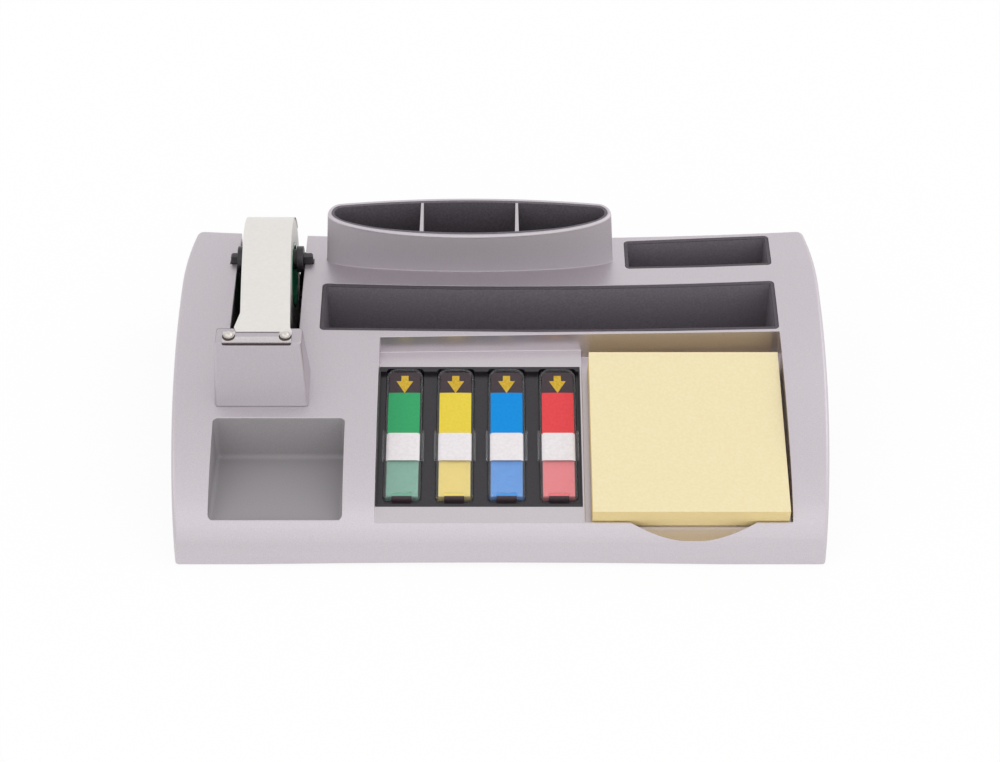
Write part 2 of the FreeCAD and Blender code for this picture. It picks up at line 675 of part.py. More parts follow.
def tape_spindle():
    """Black axle with flats at its ends and a flange each side of the roll."""
    def at(x):
        return V(x, AXLE_Y, AXLE_Z)

    left, right = AXLE_X
    inner_left = WELL[0] + 0.4
    inner_right = WELL[1] - 0.4
    barrel = rod(BARREL_RADIUS, at(inner_left), at(inner_right))
    flanges = [rod(FLANGE_RADIUS, at(inner_left), at(inner_left + FLANGE)),
               rod(FLANGE_RADIUS, at(inner_right - FLANGE), at(inner_right))]
    tang = box(left, right, AXLE_Y - TANG[0] / 2, AXLE_Y + TANG[0] / 2,
               AXLE_Z - TANG[1] / 2, AXLE_Z + TANG[1] / 2)
    ends = [e for e in tang.Edges if abs(e.tangentAt(e.FirstParameter).x) < 0.1]
    return barrel.fuse(flanges).fuse(tang.makeChamfer(0.5, ends))


def ring(inner, outer, x0, x1):
    start, end = V(x0, AXLE_Y, ROLL_Z), V(x1, AXLE_Y, ROLL_Z)
    return rod(outer, start, end).cut(rod(inner, start, end))


def tape_core():
    return ring(CORE_RADIUS, CORE_RADIUS + CORE_WALL, *TAPE_X)


def tape_roll():
    wound = ring(CORE_RADIUS + CORE_WALL, TAPE_RADIUS, TAPE_X[0] + 0.1, TAPE_X[1] - 0.1)
    rims = [e for e in wound.Edges if e.BoundBox.ZLength > 2 * TAPE_RADIUS - 1
            and e.Curve.TypeId == "Part::GeomCircle"]
    return wound.makeChamfer(0.3, rims)


def tape_strip():
    """The free end of the tape, from the top of the roll to the blade."""
    low = ROLL_Z + TAPE_RADIUS + STRIP_GAP
    corners = [V(TAPE_X[0], AXLE_Y, low), V(STRIP_END_X[0], STRIP_END_Y, low),
               V(STRIP_END_X[1], STRIP_END_Y, low), V(TAPE_X[1], AXLE_Y, low)]
    strip = Part.Face(Part.makePolygon(corners + corners[:1])).extrude(V(0, 0, STRIP))
    strip.rotate(V(0, AXLE_Y, low), X_AXIS, -STRIP_RISE)
    return strip


def all_nodes():
    nodes = {
        "top_shell": top_shell(),
        "cup_shell": cup_shell(),
        "cup_liner": cup_liner(),
        "cup_divider_left": cup_divider(-1),
        "cup_divider_right": cup_divider(1),
        "storage_tray": storage_tray(),
        "well_liner": well_liner(),
        "base_plate": base_plate(),
        "base_screws": base_screws(),
        "ballast_plate": ballast_plate(),
        "cutter_block": cutter_block(),
        "cutter_blade": cutter_blade(),
        "blade_rivets": blade_rivets(),
        "flag_tray": flag_tray(),
        "note_pad": note_pad(),
        "tape_spindle": tape_spindle(),
        "tape_core": tape_core(),
        "tape_roll": tape_roll(),
        "tape_strip": tape_strip(),
    }
    for place, (x, y) in FEET.items():
        nodes["foot_" + place] = rubber_foot(x, y)
    for number, colour in enumerate(FLAG_COLOURS):
        x = FLAG_FIRST_X + number * FLAG_PITCH
        nodes["flag_case_" + colour] = flag_case(x)
        nodes["flag_stack_" + colour] = flag_stack(x)
        nodes["flag_band_" + colour] = flag_band(x)
        nodes["flag_tab_" + colour] = flag_tab(x)
    return nodes


def main():
    os.makedirs("parts", exist_ok=True)
    for name, shape in all_nodes().items():
        placed = shape.copy()
        placed.translate(V(0, -Y_MIDDLE, STAND))
        print(name, placed.isValid(), len(placed.Solids), round(placed.Volume))
        placed.exportStep("parts/%s.step" % name)


main()
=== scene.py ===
# %% [markdown]
# # An arched desk organizer
# This lesson dresses a desk organizer: a silver plastic arch with a pencil cup, open bins, a tape
# dispenser with a steel cutter, four page-flag dispensers and a square pad of notes. The
# construction comes from CAD and is loaded as a fixed frame. Everything here is in metres, +Z is
# up and the origin lies on the desk under the middle of the object.

# %% Load the frame
import json
import math
import random

import bpy
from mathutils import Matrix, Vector


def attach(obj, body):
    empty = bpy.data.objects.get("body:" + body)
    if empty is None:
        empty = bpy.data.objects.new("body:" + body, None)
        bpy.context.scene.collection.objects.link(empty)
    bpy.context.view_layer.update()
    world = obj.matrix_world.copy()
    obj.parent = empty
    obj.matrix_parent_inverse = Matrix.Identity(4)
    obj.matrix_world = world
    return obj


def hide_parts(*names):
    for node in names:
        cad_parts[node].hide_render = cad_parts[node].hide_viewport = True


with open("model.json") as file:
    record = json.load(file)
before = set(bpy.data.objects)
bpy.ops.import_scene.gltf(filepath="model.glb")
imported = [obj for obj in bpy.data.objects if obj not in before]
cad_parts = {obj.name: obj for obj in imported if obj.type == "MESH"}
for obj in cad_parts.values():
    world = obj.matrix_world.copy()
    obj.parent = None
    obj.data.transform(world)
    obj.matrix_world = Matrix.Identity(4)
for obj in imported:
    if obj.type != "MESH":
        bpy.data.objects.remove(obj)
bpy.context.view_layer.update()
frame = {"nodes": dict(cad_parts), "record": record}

MM = 0.001

# %% [markdown]
# ## Camera, desk and light
# The organizer is seen from in front and above, with a long lens that keeps its sides almost
# parallel. A camera could be aimed with a constraint, but its place and pitch are written out
# here, so that the view never changes by itself.

# %% Camera
CAMERA_PLACE = (0.0, -0.7332, 0.6438)
CAMERA_PITCH = math.radians(50.0)     # from straight down
CAMERA_LENS = 85.0
CAMERA_SENSOR = 36.0
CAMERA_SHIFT = -0.0003

bpy.ops.object.camera_add(location=CAMERA_PLACE, rotation=(CAMERA_PITCH, 0, 0))
camera = bpy.context.object
camera.name = "camera"
camera.data.lens = CAMERA_LENS
camera.data.sensor_width = CAMERA_SENSOR
camera.data.shift_x = CAMERA_SHIFT
bpy.context.scene.camera = camera
bpy.context.scene.view_settings.view_transform = "Standard"
print("camera", CAMERA_LENS, "mm lens")

# %% [markdown]
# Materials are made of nodes. Three helpers keep that short: one turns the sRGB colour that a
# paint chart gives into the linear values that the renderer works in, one adds a node with its
# settings and its links in a single line, and one starts an empty material.

# %% Colour and node helpers
def linear(hex_colour):
    """An sRGB colour such as #C8C0C8 as linear red, green and blue, with a full alpha."""
    channels = [int(hex_colour[i:i + 2], 16) / 255 for i in (1, 3, 5)]
    values = [c / 12.92 if c <= 0.04045 else ((c + 0.055) / 1.055) ** 2.4 for c in channels]
    return (*values, 1.0)


def add(tree, kind, settings=None, links=None):
    """Adds one node. Settings are its inputs or properties, links join sockets to its inputs."""
    node = tree.nodes.new(kind)
    for name, value in (settings or {}).items():
        if isinstance(name, int) or name in node.inputs:
            node.inputs[name].default_value = value
        else:
            setattr(node, name, value)
    for name, socket in (links or {}).items():
        tree.links.new(socket, node.inputs[name])
    return node


def new_material(name):
    """An empty node material and its output node."""
    material = bpy.data.materials.new(name)
    material.use_nodes = True
    tree = material.node_tree
    tree.nodes.clear()
    return material, tree, add(tree, "ShaderNodeOutputMaterial")


print("pure white is", linear("#FFFFFF"))

# %% [markdown]
# The desk is plain white paper, wide enough that its edge never shows. It has to look white
# without more light on the object, so rays that come from the camera, a mirror or glass see part
# of it as a flat white, and the rest is lit, which keeps the shadow.

# %% Desk
PAPER_WHITE = "#FAFAFA"
FLAT_SHARE = 0.9         # how much of the white is independent of the lamps
DESK_SIZE = 8.0

bpy.ops.mesh.primitive_plane_add(size=DESK_SIZE, location=(0, 0, 0))
desk = bpy.context.object
desk.name = "desk"
desk_paper, tree, output = new_material("desk_paper")
lit = add(tree, "ShaderNodeBsdfDiffuse", {"Color": linear(PAPER_WHITE), "Roughness": 0.6})
flat = add(tree, "ShaderNodeEmission", {"Color": (1, 1, 1, 1), "Strength": 1.0})
rays = add(tree, "ShaderNodeLightPath")
seen = add(tree, "ShaderNodeMath", {"operation": "MAXIMUM"},
           {0: rays.outputs["Is Camera Ray"], 1: rays.outputs["Is Glossy Ray"]})
seen = add(tree, "ShaderNodeMath", {"operation": "MAXIMUM"},
           {0: seen.outputs[0], 1: rays.outputs["Is Transmission Ray"]})
share = add(tree, "ShaderNodeMath", {"operation": "MULTIPLY", 1: FLAT_SHARE}, {0: seen.outputs[0]})
mix = add(tree, "ShaderNodeMixShader", None,
          {0: share.outputs[0], 1: lit.outputs[0], 2: flat.outputs[0]})
tree.links.new(mix.outputs[0], output.inputs["Surface"])
desk.data.materials.append(desk_paper)
print("desk", desk.dimensions[:2])

# %% [markdown]
# A studio packshot is lit mostly by a bright tent, with weak soft boxes that give the broad
# highlights satin plastic shows. The tent is a little brighter on its right, and duller high up
# behind the object, where its panels meet. A curved lacquered surface shows both as slow changes
# from light to grey.

# %% Lamps and room
ROOM_STRENGTH = 0.97
ROOM_SIDE = 0.12         # brighter on the right and darker on the left by this share
DULL_PATCH = (0.0, 0.39, 0.92)      # the direction of the duller patch
DULL_EDGE = 0.72         # cosine of the angle at which it ends
DULL_SHARE = 0.87        # its brightness
LAMP_AIM = (0, 0, 0.03)
LAMPS = {                # place, size and power
    "key": ((0.95, 0.45, 1.2), 1.0, 1.5),
    "fill": ((-1.0, -0.2, 1.1), 1.0, 0.9),
    "front": ((0.0, -1.3, 1.5), 1.0, 0.9),
}
for name, (place, size, power) in LAMPS.items():
    bpy.ops.object.light_add(type="AREA", location=place)
    lamp = bpy.context.object
    lamp.name = name
    lamp.data.size = size
    lamp.data.energy = power
    lamp.rotation_euler = (Vector(place) - Vector(LAMP_AIM)).to_track_quat("Z", "Y").to_euler()
    print(name, "lamp", power, "W")

room = bpy.data.worlds.new("room")
room.use_nodes = True
bpy.context.scene.world = room
tree = room.node_tree
tree.nodes.clear()
output = add(tree, "ShaderNodeOutputWorld")
place = add(tree, "ShaderNodeTexCoord")
axes = add(tree, "ShaderNodeSeparateXYZ", None, {"Vector": place.outputs["Generated"]})
side = add(tree, "ShaderNodeMath", {"operation": "MULTIPLY_ADD", 1: ROOM_SIDE, 2: 1.0},
           {0: axes.outputs["X"]})
towards = add(tree, "ShaderNodeVectorMath", {"operation": "DOT_PRODUCT", 1: DULL_PATCH},
              {0: place.outputs["Generated"]})
patch = add(tree, "ShaderNodeMapRange",
            {"interpolation_type": "SMOOTHSTEP", "From Min": DULL_EDGE, "From Max": 1.0,
             "To Min": 1.0, "To Max": DULL_SHARE},
            {"Value": towards.outputs["Value"]})
level = add(tree, "ShaderNodeMath", {"operation": "MULTIPLY"},
            {0: side.outputs[0], 1: patch.outputs["Result"]})
level = add(tree, "ShaderNodeMath", {"operation": "MULTIPLY", 1: ROOM_STRENGTH},
            {0: level.outputs[0]})
dim = add(tree, "ShaderNodeBackground", {"Color": (1, 1, 1, 1)}, {"Strength": level.outputs[0]})
white = add(tree, "ShaderNodeBackground", {"Color": (1, 1, 1, 1), "Strength": 1.0})
rays = add(tree, "ShaderNodeLightPath")
mix = add(tree, "ShaderNodeMixShader", None,
          {0: rays.outputs["Is Camera Ray"], 1: dim.outputs[0], 2: white.outputs[0]})
tree.links.new(mix.outputs[0], output.inputs["Surface"])
print("room strength", ROOM_STRENGTH)

# %% [markdown]
# ## Finishes
# The housing is ABS, injection moulded and sprayed with a lacquer that holds fine aluminium
# flakes. The eye sees a lilac grey that shifts a little with the light, tiny brighter and darker
# flecks, and a soft satin highlight. Real flakes are about 0.05 mm, too fine to show, so they are
# drawn at 0.35 mm. The lacquer has five grades: the deck's, a smoother one for the recess, and
# three darker copies that paint shade on the cutter block, inside the front bin and on the cup's
# wall.

# %% Silver lacquer on moulded ABS
PATCH_DETAIL, GRAIN_DETAIL = 3.0, 2.0
PATCH_ENDS = (0.35, 0.65)     # where the noise reaches the darker and the lighter colour


def noise_of(tree, size_mm, detail):
    """Noise with features of a real size, fixed to the piece."""
    place = add(tree, "ShaderNodeTexCoord")
    noise = add(tree, "ShaderNodeTexNoise", {"Scale": 1 / (size_mm * MM), "Detail": detail},
                {"Vector": place.outputs["Object"]})
    return noise.outputs["Fac"]


def mottled(tree, low, high, size_mm):
    """A colour that drifts between two hex values over patches of a real size."""
    ramp = add(tree, "ShaderNodeValToRGB", None, {"Fac": noise_of(tree, size_mm, PATCH_DETAIL)})
    for element, position, colour in zip(ramp.color_ramp.elements, PATCH_ENDS, (low, high)):
        element.position = position
        element.color = linear(colour)
    return ramp.outputs["Color"]


def grained(tree, size_mm, height_mm):
    """A bump of fine grain, given by the grain's real size and height."""
    bump = add(tree, "ShaderNodeBump", {"Strength": 1.0, "Distance": height_mm * MM},
               {"Height": noise_of(tree, size_mm, GRAIN_DETAIL)})
    return bump.outputs["Normal"]


def moulded(name, low, high, patch_mm, grain_mm, height_mm, **finish):
    """A material of one colour range, with patches and grain of real sizes."""
    material, tree, output = new_material(name)
    surface = add(tree, "ShaderNodeBsdfPrincipled", finish,
                  {"Base Color": mottled(tree, low, high, patch_mm),
                   "Normal": grained(tree, grain_mm, height_mm)})
    tree.links.new(surface.outputs[0], output.inputs["Surface"])
    return material


silver_abs = moulded("abs_silver_lacquer", "#C9C2C8", "#D3CCD2", 0.35, 0.5, 0.004,
                     Metallic=0.82, Roughness=0.36, IOR=1.53)
# A darker copy for the cutter block: painted shade for its front, which faces away from the light.
silver_painted_shade_block = moulded("abs_silver_lacquer_painted_shade_block", "#BBB4BA", "#C5BEC4", 0.35, 0.5, 0.004,
                       Metallic=0.82, Roughness=0.36, IOR=1.53)
silver_smooth = moulded("abs_silver_lacquer_smooth", "#D1CACF", "#D9D2D7", 0.35, 0.5, 0.002,
                        Metallic=0.92, Roughness=0.3, IOR=1.53)
# A darker, duller copy for the inside of the front bin: painted shade for the hollow.
silver_painted_shade_bin = moulded("abs_silver_lacquer_painted_shade_bin", "#9C989B", "#A6A2A5", 0.35, 0.5, 0.006,
                      Metallic=0.15, Roughness=0.8, IOR=1.4)
# A darker, duller copy for the cup's wall: painted shade for the dark it mirrors.
silver_cup_painted_shade = moulded("abs_silver_lacquer_painted_shade_cup", "#B4ADB3", "#BEB7BD", 0.35, 0.5, 0.004,
                     Metallic=0.15, Roughness=0.6, IOR=1.53)
print("five grades of silver, from", silver_smooth.name, "to", silver_painted_shade_bin.name)

# %% [markdown]
# The inner bins, cup and base are ABS coloured in the mass and moulded in a spark-eroded tool.
# That leaves a dull, even grain with pits of about 0.3 mm, so nothing in them mirrors the room
# sharply.

# %% Other plastics, rubber, paper and steel
bin_abs = moulded("abs_charcoal_grained", "#767078", "#837C84", 0.8, 0.3, 0.012,
                  Roughness=0.5, IOR=1.53)
# A darker copy for the rims of the bins: painted shade.
bin_rim_painted_shade = moulded("abs_charcoal_painted_shade_rim", "#4A444B", "#544E55", 0.8, 0.3, 0.02,
                  Roughness=0.7, IOR=1.53)
# A darker copy for the liner of the deep cup: painted shade.
cup_liner_painted_shade = moulded("abs_charcoal_painted_shade_deep", "#5B555C", "#6A646B", 0.8, 0.3, 0.012,
                  Roughness=0.55, IOR=1.53)
black_ps = moulded("polystyrene_black", "#1E1A20", "#29242A", 0.8, 0.4, 0.006,
                   Roughness=0.3, IOR=1.59)
well_black = moulded("abs_black_grained", "#121014", "#1A181C", 0.8, 0.3, 0.015,
                     Roughness=0.5, IOR=1.53)
foot_rubber = moulded("rubber_moulded_black", "#161616", "#202020", 1.0, 0.4, 0.02,
                      Roughness=0.8, IOR=1.52)
core_green = moulded("polystyrene_green", "#0F7A55", "#15875F", 1.5, 0.8, 0.003,
                     Roughness=0.25, IOR=1.59)
tape_film = moulded("acetate_film_frosted", "#E0DCD8", "#E3E0DC", 1.5, 0.3, 0.003,
                    Roughness=0.45, IOR=1.48)
tape_wound_edge = moulded("acetate_film_wound_edge", "#CFCCC8", "#DAD7D3", 0.4, 0.3, 0.01,
                          Roughness=0.5, IOR=1.48)
note_paper = moulded("paper_uncoated_yellow", "#EEDFB2", "#F2E4BA", 1.2, 0.25, 0.006,
                     Roughness=0.85, IOR=1.45)
note_edge = moulded("paper_uncoated_yellow_cut_edge", "#EDD79B", "#F1DCA4", 0.5, 0.2, 0.01,
                    Roughness=0.9, IOR=1.45)
band_film = moulded("film_white_printed", "#E6E0E3", "#EDE8EA", 1.2, 0.4, 0.002,
                    Roughness=0.35, IOR=1.5)
steel = moulded("steel_stamped_bright", "#B8B0A4", "#CFC8BE", 0.6, 0.3, 0.004,
                Metallic=1.0, Roughness=0.28)
blade_steel = moulded("stainless_steel_cold_rolled", "#D2CCCE", "#DBD5D7", 0.6, 0.3, 0.003,
                      Metallic=1.0, Roughness=0.25)
# A dark copy of steel for the blade's lip and teeth and the discs under the rivets: painted shade
# and painted shadows.
painted_shade_steel = moulded("steel_painted_shade_dark", "#4C4343", "#584E4E", 0.6, 0.3, 0.004,
                       Metallic=1.0, Roughness=0.35)
rivet_steel = moulded("steel_tumbled_bright", "#D8D2CC", "#E2DCD6", 0.6, 0.3, 0.003,
                      Metallic=1.0, Roughness=0.3)
gold_foil = moulded("foil_hot_stamped_gold", "#D6AC32", "#E6C455", 0.8, 0.5, 0.006,
                    Metallic=1.0, Roughness=0.3)
card_and_shade_film = moulded("plum_card_print_and_painted_shade", "#37292F", "#403138", 1.0, 0.4, 0.003,
                    Roughness=0.5, IOR=1.5)
FLAG_INKS = {            # the bright tab, and the paler film that lies over paper
    "green": ("#34A265", "#3AA66B", "#7CB79E", "#86BEA6"),
    "yellow": ("#E4CC42", "#EAD249", "#FCE274", "#FFE880"),
    "blue": ("#008ADB", "#0090DF", "#509FEE", "#5CA7F2"),
    "red": ("#E2454A", "#E64B51", "#FB7E82", "#FE888C"),
}
INK = {"Roughness": 0.5, "IOR": 1.5, "Specular IOR Level": 0.2}
tab_film = {}
stack_film = {}
for colour, (low, high, pale_low, pale_high) in FLAG_INKS.items():
    tab_film[colour] = moulded("film_tab_" + colour, low, high, 1.0, 0.4, 0.002, **INK)
    stack_film[colour] = moulded("film_pale_" + colour, pale_low, pale_high, 1.0, 0.4, 0.002,
                                 **INK)

clear_ps, tree, output = new_material("polystyrene_clear")
surface = add(tree, "ShaderNodeBsdfPrincipled",
              {"Base Color": linear("#F4F4F8"), "Roughness": 0.08, "IOR": 1.3,
               "Transmission Weight": 0.85, "Alpha": 0.42})
tree.links.new(surface.outputs[0], output.inputs["Surface"])
print(len(bpy.data.materials), "materials")

# %% Give each CAD piece its finish
FINISH = {
    "silver_plastic": silver_abs, "dark_plastic": bin_abs, "black_plastic": black_ps,
    "foot_rubber": foot_rubber, "steel": steel, "note_paper": note_paper,
    "core_plastic": core_green, "tape_film": tape_film, "white_film": band_film,
    "clear_plastic": clear_ps,
}
for colour in FLAG_INKS:
    FINISH["tab_" + colour] = tab_film[colour]
    FINISH["stack_" + colour] = stack_film[colour]
for row in frame["record"]["subparts"]:
    node = frame["nodes"][row["node"]]
    node.data.materials.clear()
    node.data.materials.append(FINISH[row["material_slot"]])
frame["nodes"]["well_liner"].data.materials[0] = well_black
# The cup's liner gets the darker copy: painted shade for the deep cup.
frame["nodes"]["cup_liner"].data.materials[0] = cup_liner_painted_shade
print("finishes on", len(frame["nodes"]), "CAD pieces")

# %% [markdown]
# ## Modelling helpers
# The construction was drawn with its origin on the front edge of the housing. Two helpers turn
# those millimetres into the places used here: `spot` for upright things, and `sloped` for what
# lies in the recess, whose floor rises to the rear by 14.4 degrees.

# %% Places
REAR_SHIFT = 77.6        # from the housing's front edge to the middle of the object
STAND = 0.8              # the feet lift the housing off the desk
SLOPE = math.radians(14.4)
SLOPE_FOOT = (88.0, 35.5)     # y and z of the line that the slope turns about


def spot(x, y, z):
    """A place in metres from millimetres off the housing's front edge and lower edge."""
    return Vector((x, y - REAR_SHIFT, z + STAND)) * MM


def sloped(x, along, off):
    """A place in the recess from x, the way along its floor and the height off it."""
    y = SLOPE_FOOT[0] + along * math.cos(SLOPE) - off * math.sin(SLOPE)
    z = SLOPE_FOOT[1] + along * math.sin(SLOPE) + off * math.cos(SLOPE)
    return spot(x, y, z)


print("rear end of the recess floor:", tuple(round(v, 4) for v in sloped(0, 0, 0)))

# %% [markdown]
# Every new piece starts from a primitive at its size and place, alone in the selection, because
# an operator acts on all that is selected. `pick` then selects edges or faces by their place, and
# `finished` ends the work: normals face outwards, edges sharper than an angle stay crisp, and the
# piece gets its finish and its body.

# %% Start, pick and finish a piece
NEAR = 0.01              # millimetres within which two places count as the same
MERGE = 0.004            # and within which two vertices of the CAD are merged
FLAT = math.radians(1)   # faces that meet at less than this are one flat face


def start(kind, name, scale=(1, 1, 1), **settings):
    """Adds a primitive mesh on its own and leaves it in edit mode, all selected."""
    bpy.ops.object.select_all(action="DESELECT")
    getattr(bpy.ops.mesh, "primitive_" + kind + "_add")(**settings)
    piece = bpy.context.object
    piece.name = name
    piece.scale = scale      # the flat primitives would ignore a scale given to their operator
    bpy.ops.object.transform_apply(location=True, rotation=True, scale=True)
    bpy.ops.object.mode_set(mode="EDIT")
    return piece


def pick(piece, wanted, mode):
    """In edit mode, selects the edges or faces whose middle, in millimetres, passes a test."""
    bpy.ops.mesh.select_mode(type=mode)
    bpy.ops.mesh.select_all(action="DESELECT")
    bpy.ops.object.mode_set(mode="OBJECT")
    mesh = piece.data
    for part in mesh.edges if mode == "EDGE" else mesh.polygons:
        if mode == "EDGE":
            one, other = (mesh.vertices[number].co for number in part.vertices)
            middle = (one + other) / 2
        else:
            middle = part.center
        part.select = wanted(middle / MM)
    bpy.ops.object.mode_set(mode="EDIT")


def select_only(*pieces):
    """Selects these objects alone, with the first one active."""
    if bpy.context.object and bpy.context.object.mode != "OBJECT":
        bpy.ops.object.mode_set(mode="OBJECT")
    bpy.ops.object.select_all(action="DESELECT")
    for piece in pieces:
        piece.select_set(True)
    bpy.context.view_layer.objects.active = pieces[0]


def modified(piece, kind, **settings):
    """Adds a modifier and applies it at once."""
    select_only(piece)
    modifier = piece.modifiers.new(kind.lower(), kind)
    for key, value in settings.items():
        setattr(modifier, key, value)
    bpy.ops.object.modifier_apply(modifier=modifier.name)
    return piece


def bevelled(piece, radius, segments=2, angle=40, **settings):
    """Rounds the edges that are sharper than an angle. The radius is in millimetres."""
    return modified(piece, "BEVEL", width=radius * MM, segments=segments, limit_method="ANGLE",
                    angle_limit=math.radians(angle), **settings)


def on_all(piece, operator, **settings):
    """Runs a mesh operator on all of a piece."""
    select_only(piece)
    bpy.ops.object.mode_set(mode="EDIT")
    bpy.ops.mesh.select_all(action="SELECT")
    operator(**settings)
    bpy.ops.object.mode_set(mode="OBJECT")


def cut(place, normal, **settings):
    """Cuts all of the piece in edit mode along a plane."""
    bpy.ops.mesh.select_all(action="SELECT")
    bpy.ops.mesh.bisect(plane_co=place, plane_no=normal, **settings)


def finished(piece, finish, body, crease=35, node=None):
    """Turns normals outwards, smooths up to an angle, and hands the piece its finish and body."""
    on_all(piece, bpy.ops.mesh.normals_make_consistent, inside=False)
    bpy.ops.object.shade_smooth_by_angle(angle=math.radians(crease))
    piece.data.materials.clear()
    piece.data.materials.append(finish)
    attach(piece, body)
    if node:
        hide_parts(node)
    print(piece.name, len(piece.data.polygons), "faces")


def copy_of(node, name):
    """A copy of a CAD node with whole flat faces, to be shaped further. The node is left alone."""
    source = frame["nodes"][node]
    piece = bpy.data.objects.new(name, source.data.copy())
    bpy.context.scene.collection.objects.link(piece)
    piece.matrix_world = source.matrix_world
    on_all(piece, bpy.ops.mesh.remove_doubles, threshold=MERGE * MM)
    on_all(piece, bpy.ops.mesh.dissolve_limited, angle_limit=FLAT)
    return piece


def joined(name, pieces):
    """Several meshes made one."""
    select_only(*pieces)
    bpy.ops.object.join()
    pieces[0].name = name
    return pieces[0]


print("helpers ready, places match within", NEAR, "mm")

# %% [markdown]
# ## Pencil cup
# The silver wall of the cup is moulded in one with the housing. Its outline is half an ellipse in
# front and a flatter bow behind, it leans and widens as it rises, its rim is rounded outside, and
# its foot meets the deck in a small hollow. A cylinder could be scaled to that, but its front and
# rear differ, so a ring is extruded from level to level, and each new ring is laid on the outline
# for its level.

# %% Outline of the cup
CUP_X = -12.7
CUP_LOW = {"half": 59.78, "front": 6.79, "rear": 12.32, "y": 132.63, "z": 45.5, "tilt": 0.0}
CUP_RIM = {"half": 58.4, "front": 14.7, "rear": 9.2, "y": 134.3, "z": 70.8, "tilt": 6.2}
CUP_CORNER = 6.1
CUP_WALL = 1.5
FRONT_STEPS, CORNER_STEPS, REAR_STEPS = 120, 10, 50
DECK_TOP = 48.1               # the arch is a quarter of an ellipse this high
DECK_LENGTH = 155.0           # and this long


def cup_outline(level, inset):
    """Points round the cup at one level, moved in by the inset, in millimetres."""
    half, front, rear = (level[key] - inset for key in ("half", "front", "rear"))
    corner = CUP_CORNER - inset
    bend = ((half - corner) ** 2 + rear ** 2 - corner ** 2) / (2 * (rear - corner))
    turn = math.asin((half - corner) / (bend - corner))
    points = []
    for step in range(FRONT_STEPS):
        angle = math.pi * step / FRONT_STEPS
        points.append((-half * math.cos(angle), -front * math.sin(angle)))
    for step in range(CORNER_STEPS):
        angle = (math.pi / 2 - turn) * step / CORNER_STEPS
        points.append((half - corner + corner * math.cos(angle), corner * math.sin(angle)))
    for step in range(REAR_STEPS + 1):
        angle = turn - 2 * turn * step / REAR_STEPS
        points.append((bend * math.sin(angle), rear - bend + bend * math.cos(angle)))
    for step in range(1, CORNER_STEPS):
        angle = turn + (math.pi / 2 - turn) * step / CORNER_STEPS
        points.append((-half + corner - corner * math.sin(angle), corner * math.cos(angle)))
    tilt = math.radians(level["tilt"])
    return [Vector((CUP_X + x, level["y"] + y * math.cos(tilt), level["z"] + y * math.sin(tilt)))
            for x, y in points]


def deck_height(y):
    """Height of the arch at a distance from the housing's front edge."""
    ahead = DECK_LENGTH - min(max(y, 0.0), DECK_LENGTH)
    return DECK_TOP * math.sqrt(1 - (ahead / DECK_LENGTH) ** 2)


CUP_POINTS = len(cup_outline(CUP_RIM, 0))
print("the cup's outline has", CUP_POINTS, "points")

# %% Rings from the foot over the rim and down inside
FOOT_ROUND = (0.5, 0.4)       # radius of the soft foot in front and behind
FOOT_SUNK = 0.02              # the foot reaches this far into the deck
RIM_ROUND = 1.0               # outer edge of the rim
RIM_INNER = (0.08, 0.12)      # width and height of the tiny bevel on its inner edge
FOOT_RINGS, RIM_RINGS = 7, 6
WALL_DROPS = (16, 12, 8, 4)   # rings between foot and rim, below the rim
INNER_DROP, INNER_FOOT = 6, 0.1     # rings inside, below the rim and above the deck
APPROACH = 6                  # rounds that find a height above the curved deck


def on_wall(inset, height=None, drop=None):
    """Points of the wall at a height above the deck, or a drop below the rim."""
    low, rim = cup_outline(CUP_LOW, inset), cup_outline(CUP_RIM, inset)
    points = []
    for number, (a, b) in enumerate(zip(low, rim)):
        if drop is None:
            tall = height[number] if isinstance(height, list) else height
            way = 0.1         # a first guess
            for _ in range(APPROACH):
                way = (deck_height(a.y + (b.y - a.y) * way) + tall - a.z) / (b.z - a.z)
        else:
            way = 1 - drop / (b.z - a.z)
        points.append(a.lerp(b, way))
    return points


frontness = [max(0.0, math.sin(math.pi * n / FRONT_STEPS)) if n < FRONT_STEPS else 0.0
             for n in range(CUP_POINTS)]
foot_radius = [FOOT_ROUND[1] + (FOOT_ROUND[0] - FOOT_ROUND[1]) * share ** 0.5
               for share in frontness]
rings = []
for ring in range(FOOT_RINGS):
    turn = math.radians(90 * ring / (FOOT_RINGS - 1))
    heights = [radius * (1 - math.cos(turn)) for radius in foot_radius]
    wall, outside = on_wall(0, heights), on_wall(-1, heights)
    placed = []
    for point, further, radius, height in zip(wall, outside, foot_radius, heights):
        point = point + (further - point) * radius * (1 - math.sin(turn))
        placed.append(Vector((point.x, point.y, deck_height(point.y) + height - FOOT_SUNK)))
    rings.append(placed)
for drop in WALL_DROPS:
    rings.append([p if p.z > q.z else q for p, q in zip(on_wall(0, drop=drop), rings[-1])])
for ring in range(RIM_RINGS + 1):
    turn = math.radians(90 * ring / RIM_RINGS)
    rings.append(on_wall(RIM_ROUND * (1 - math.cos(turn)), drop=RIM_ROUND * (1 - math.sin(turn))))
rings += [on_wall(CUP_WALL - RIM_INNER[0], drop=0.0), on_wall(CUP_WALL, drop=RIM_INNER[1]),
          on_wall(CUP_WALL, drop=INNER_DROP), on_wall(CUP_WALL, INNER_FOOT)]

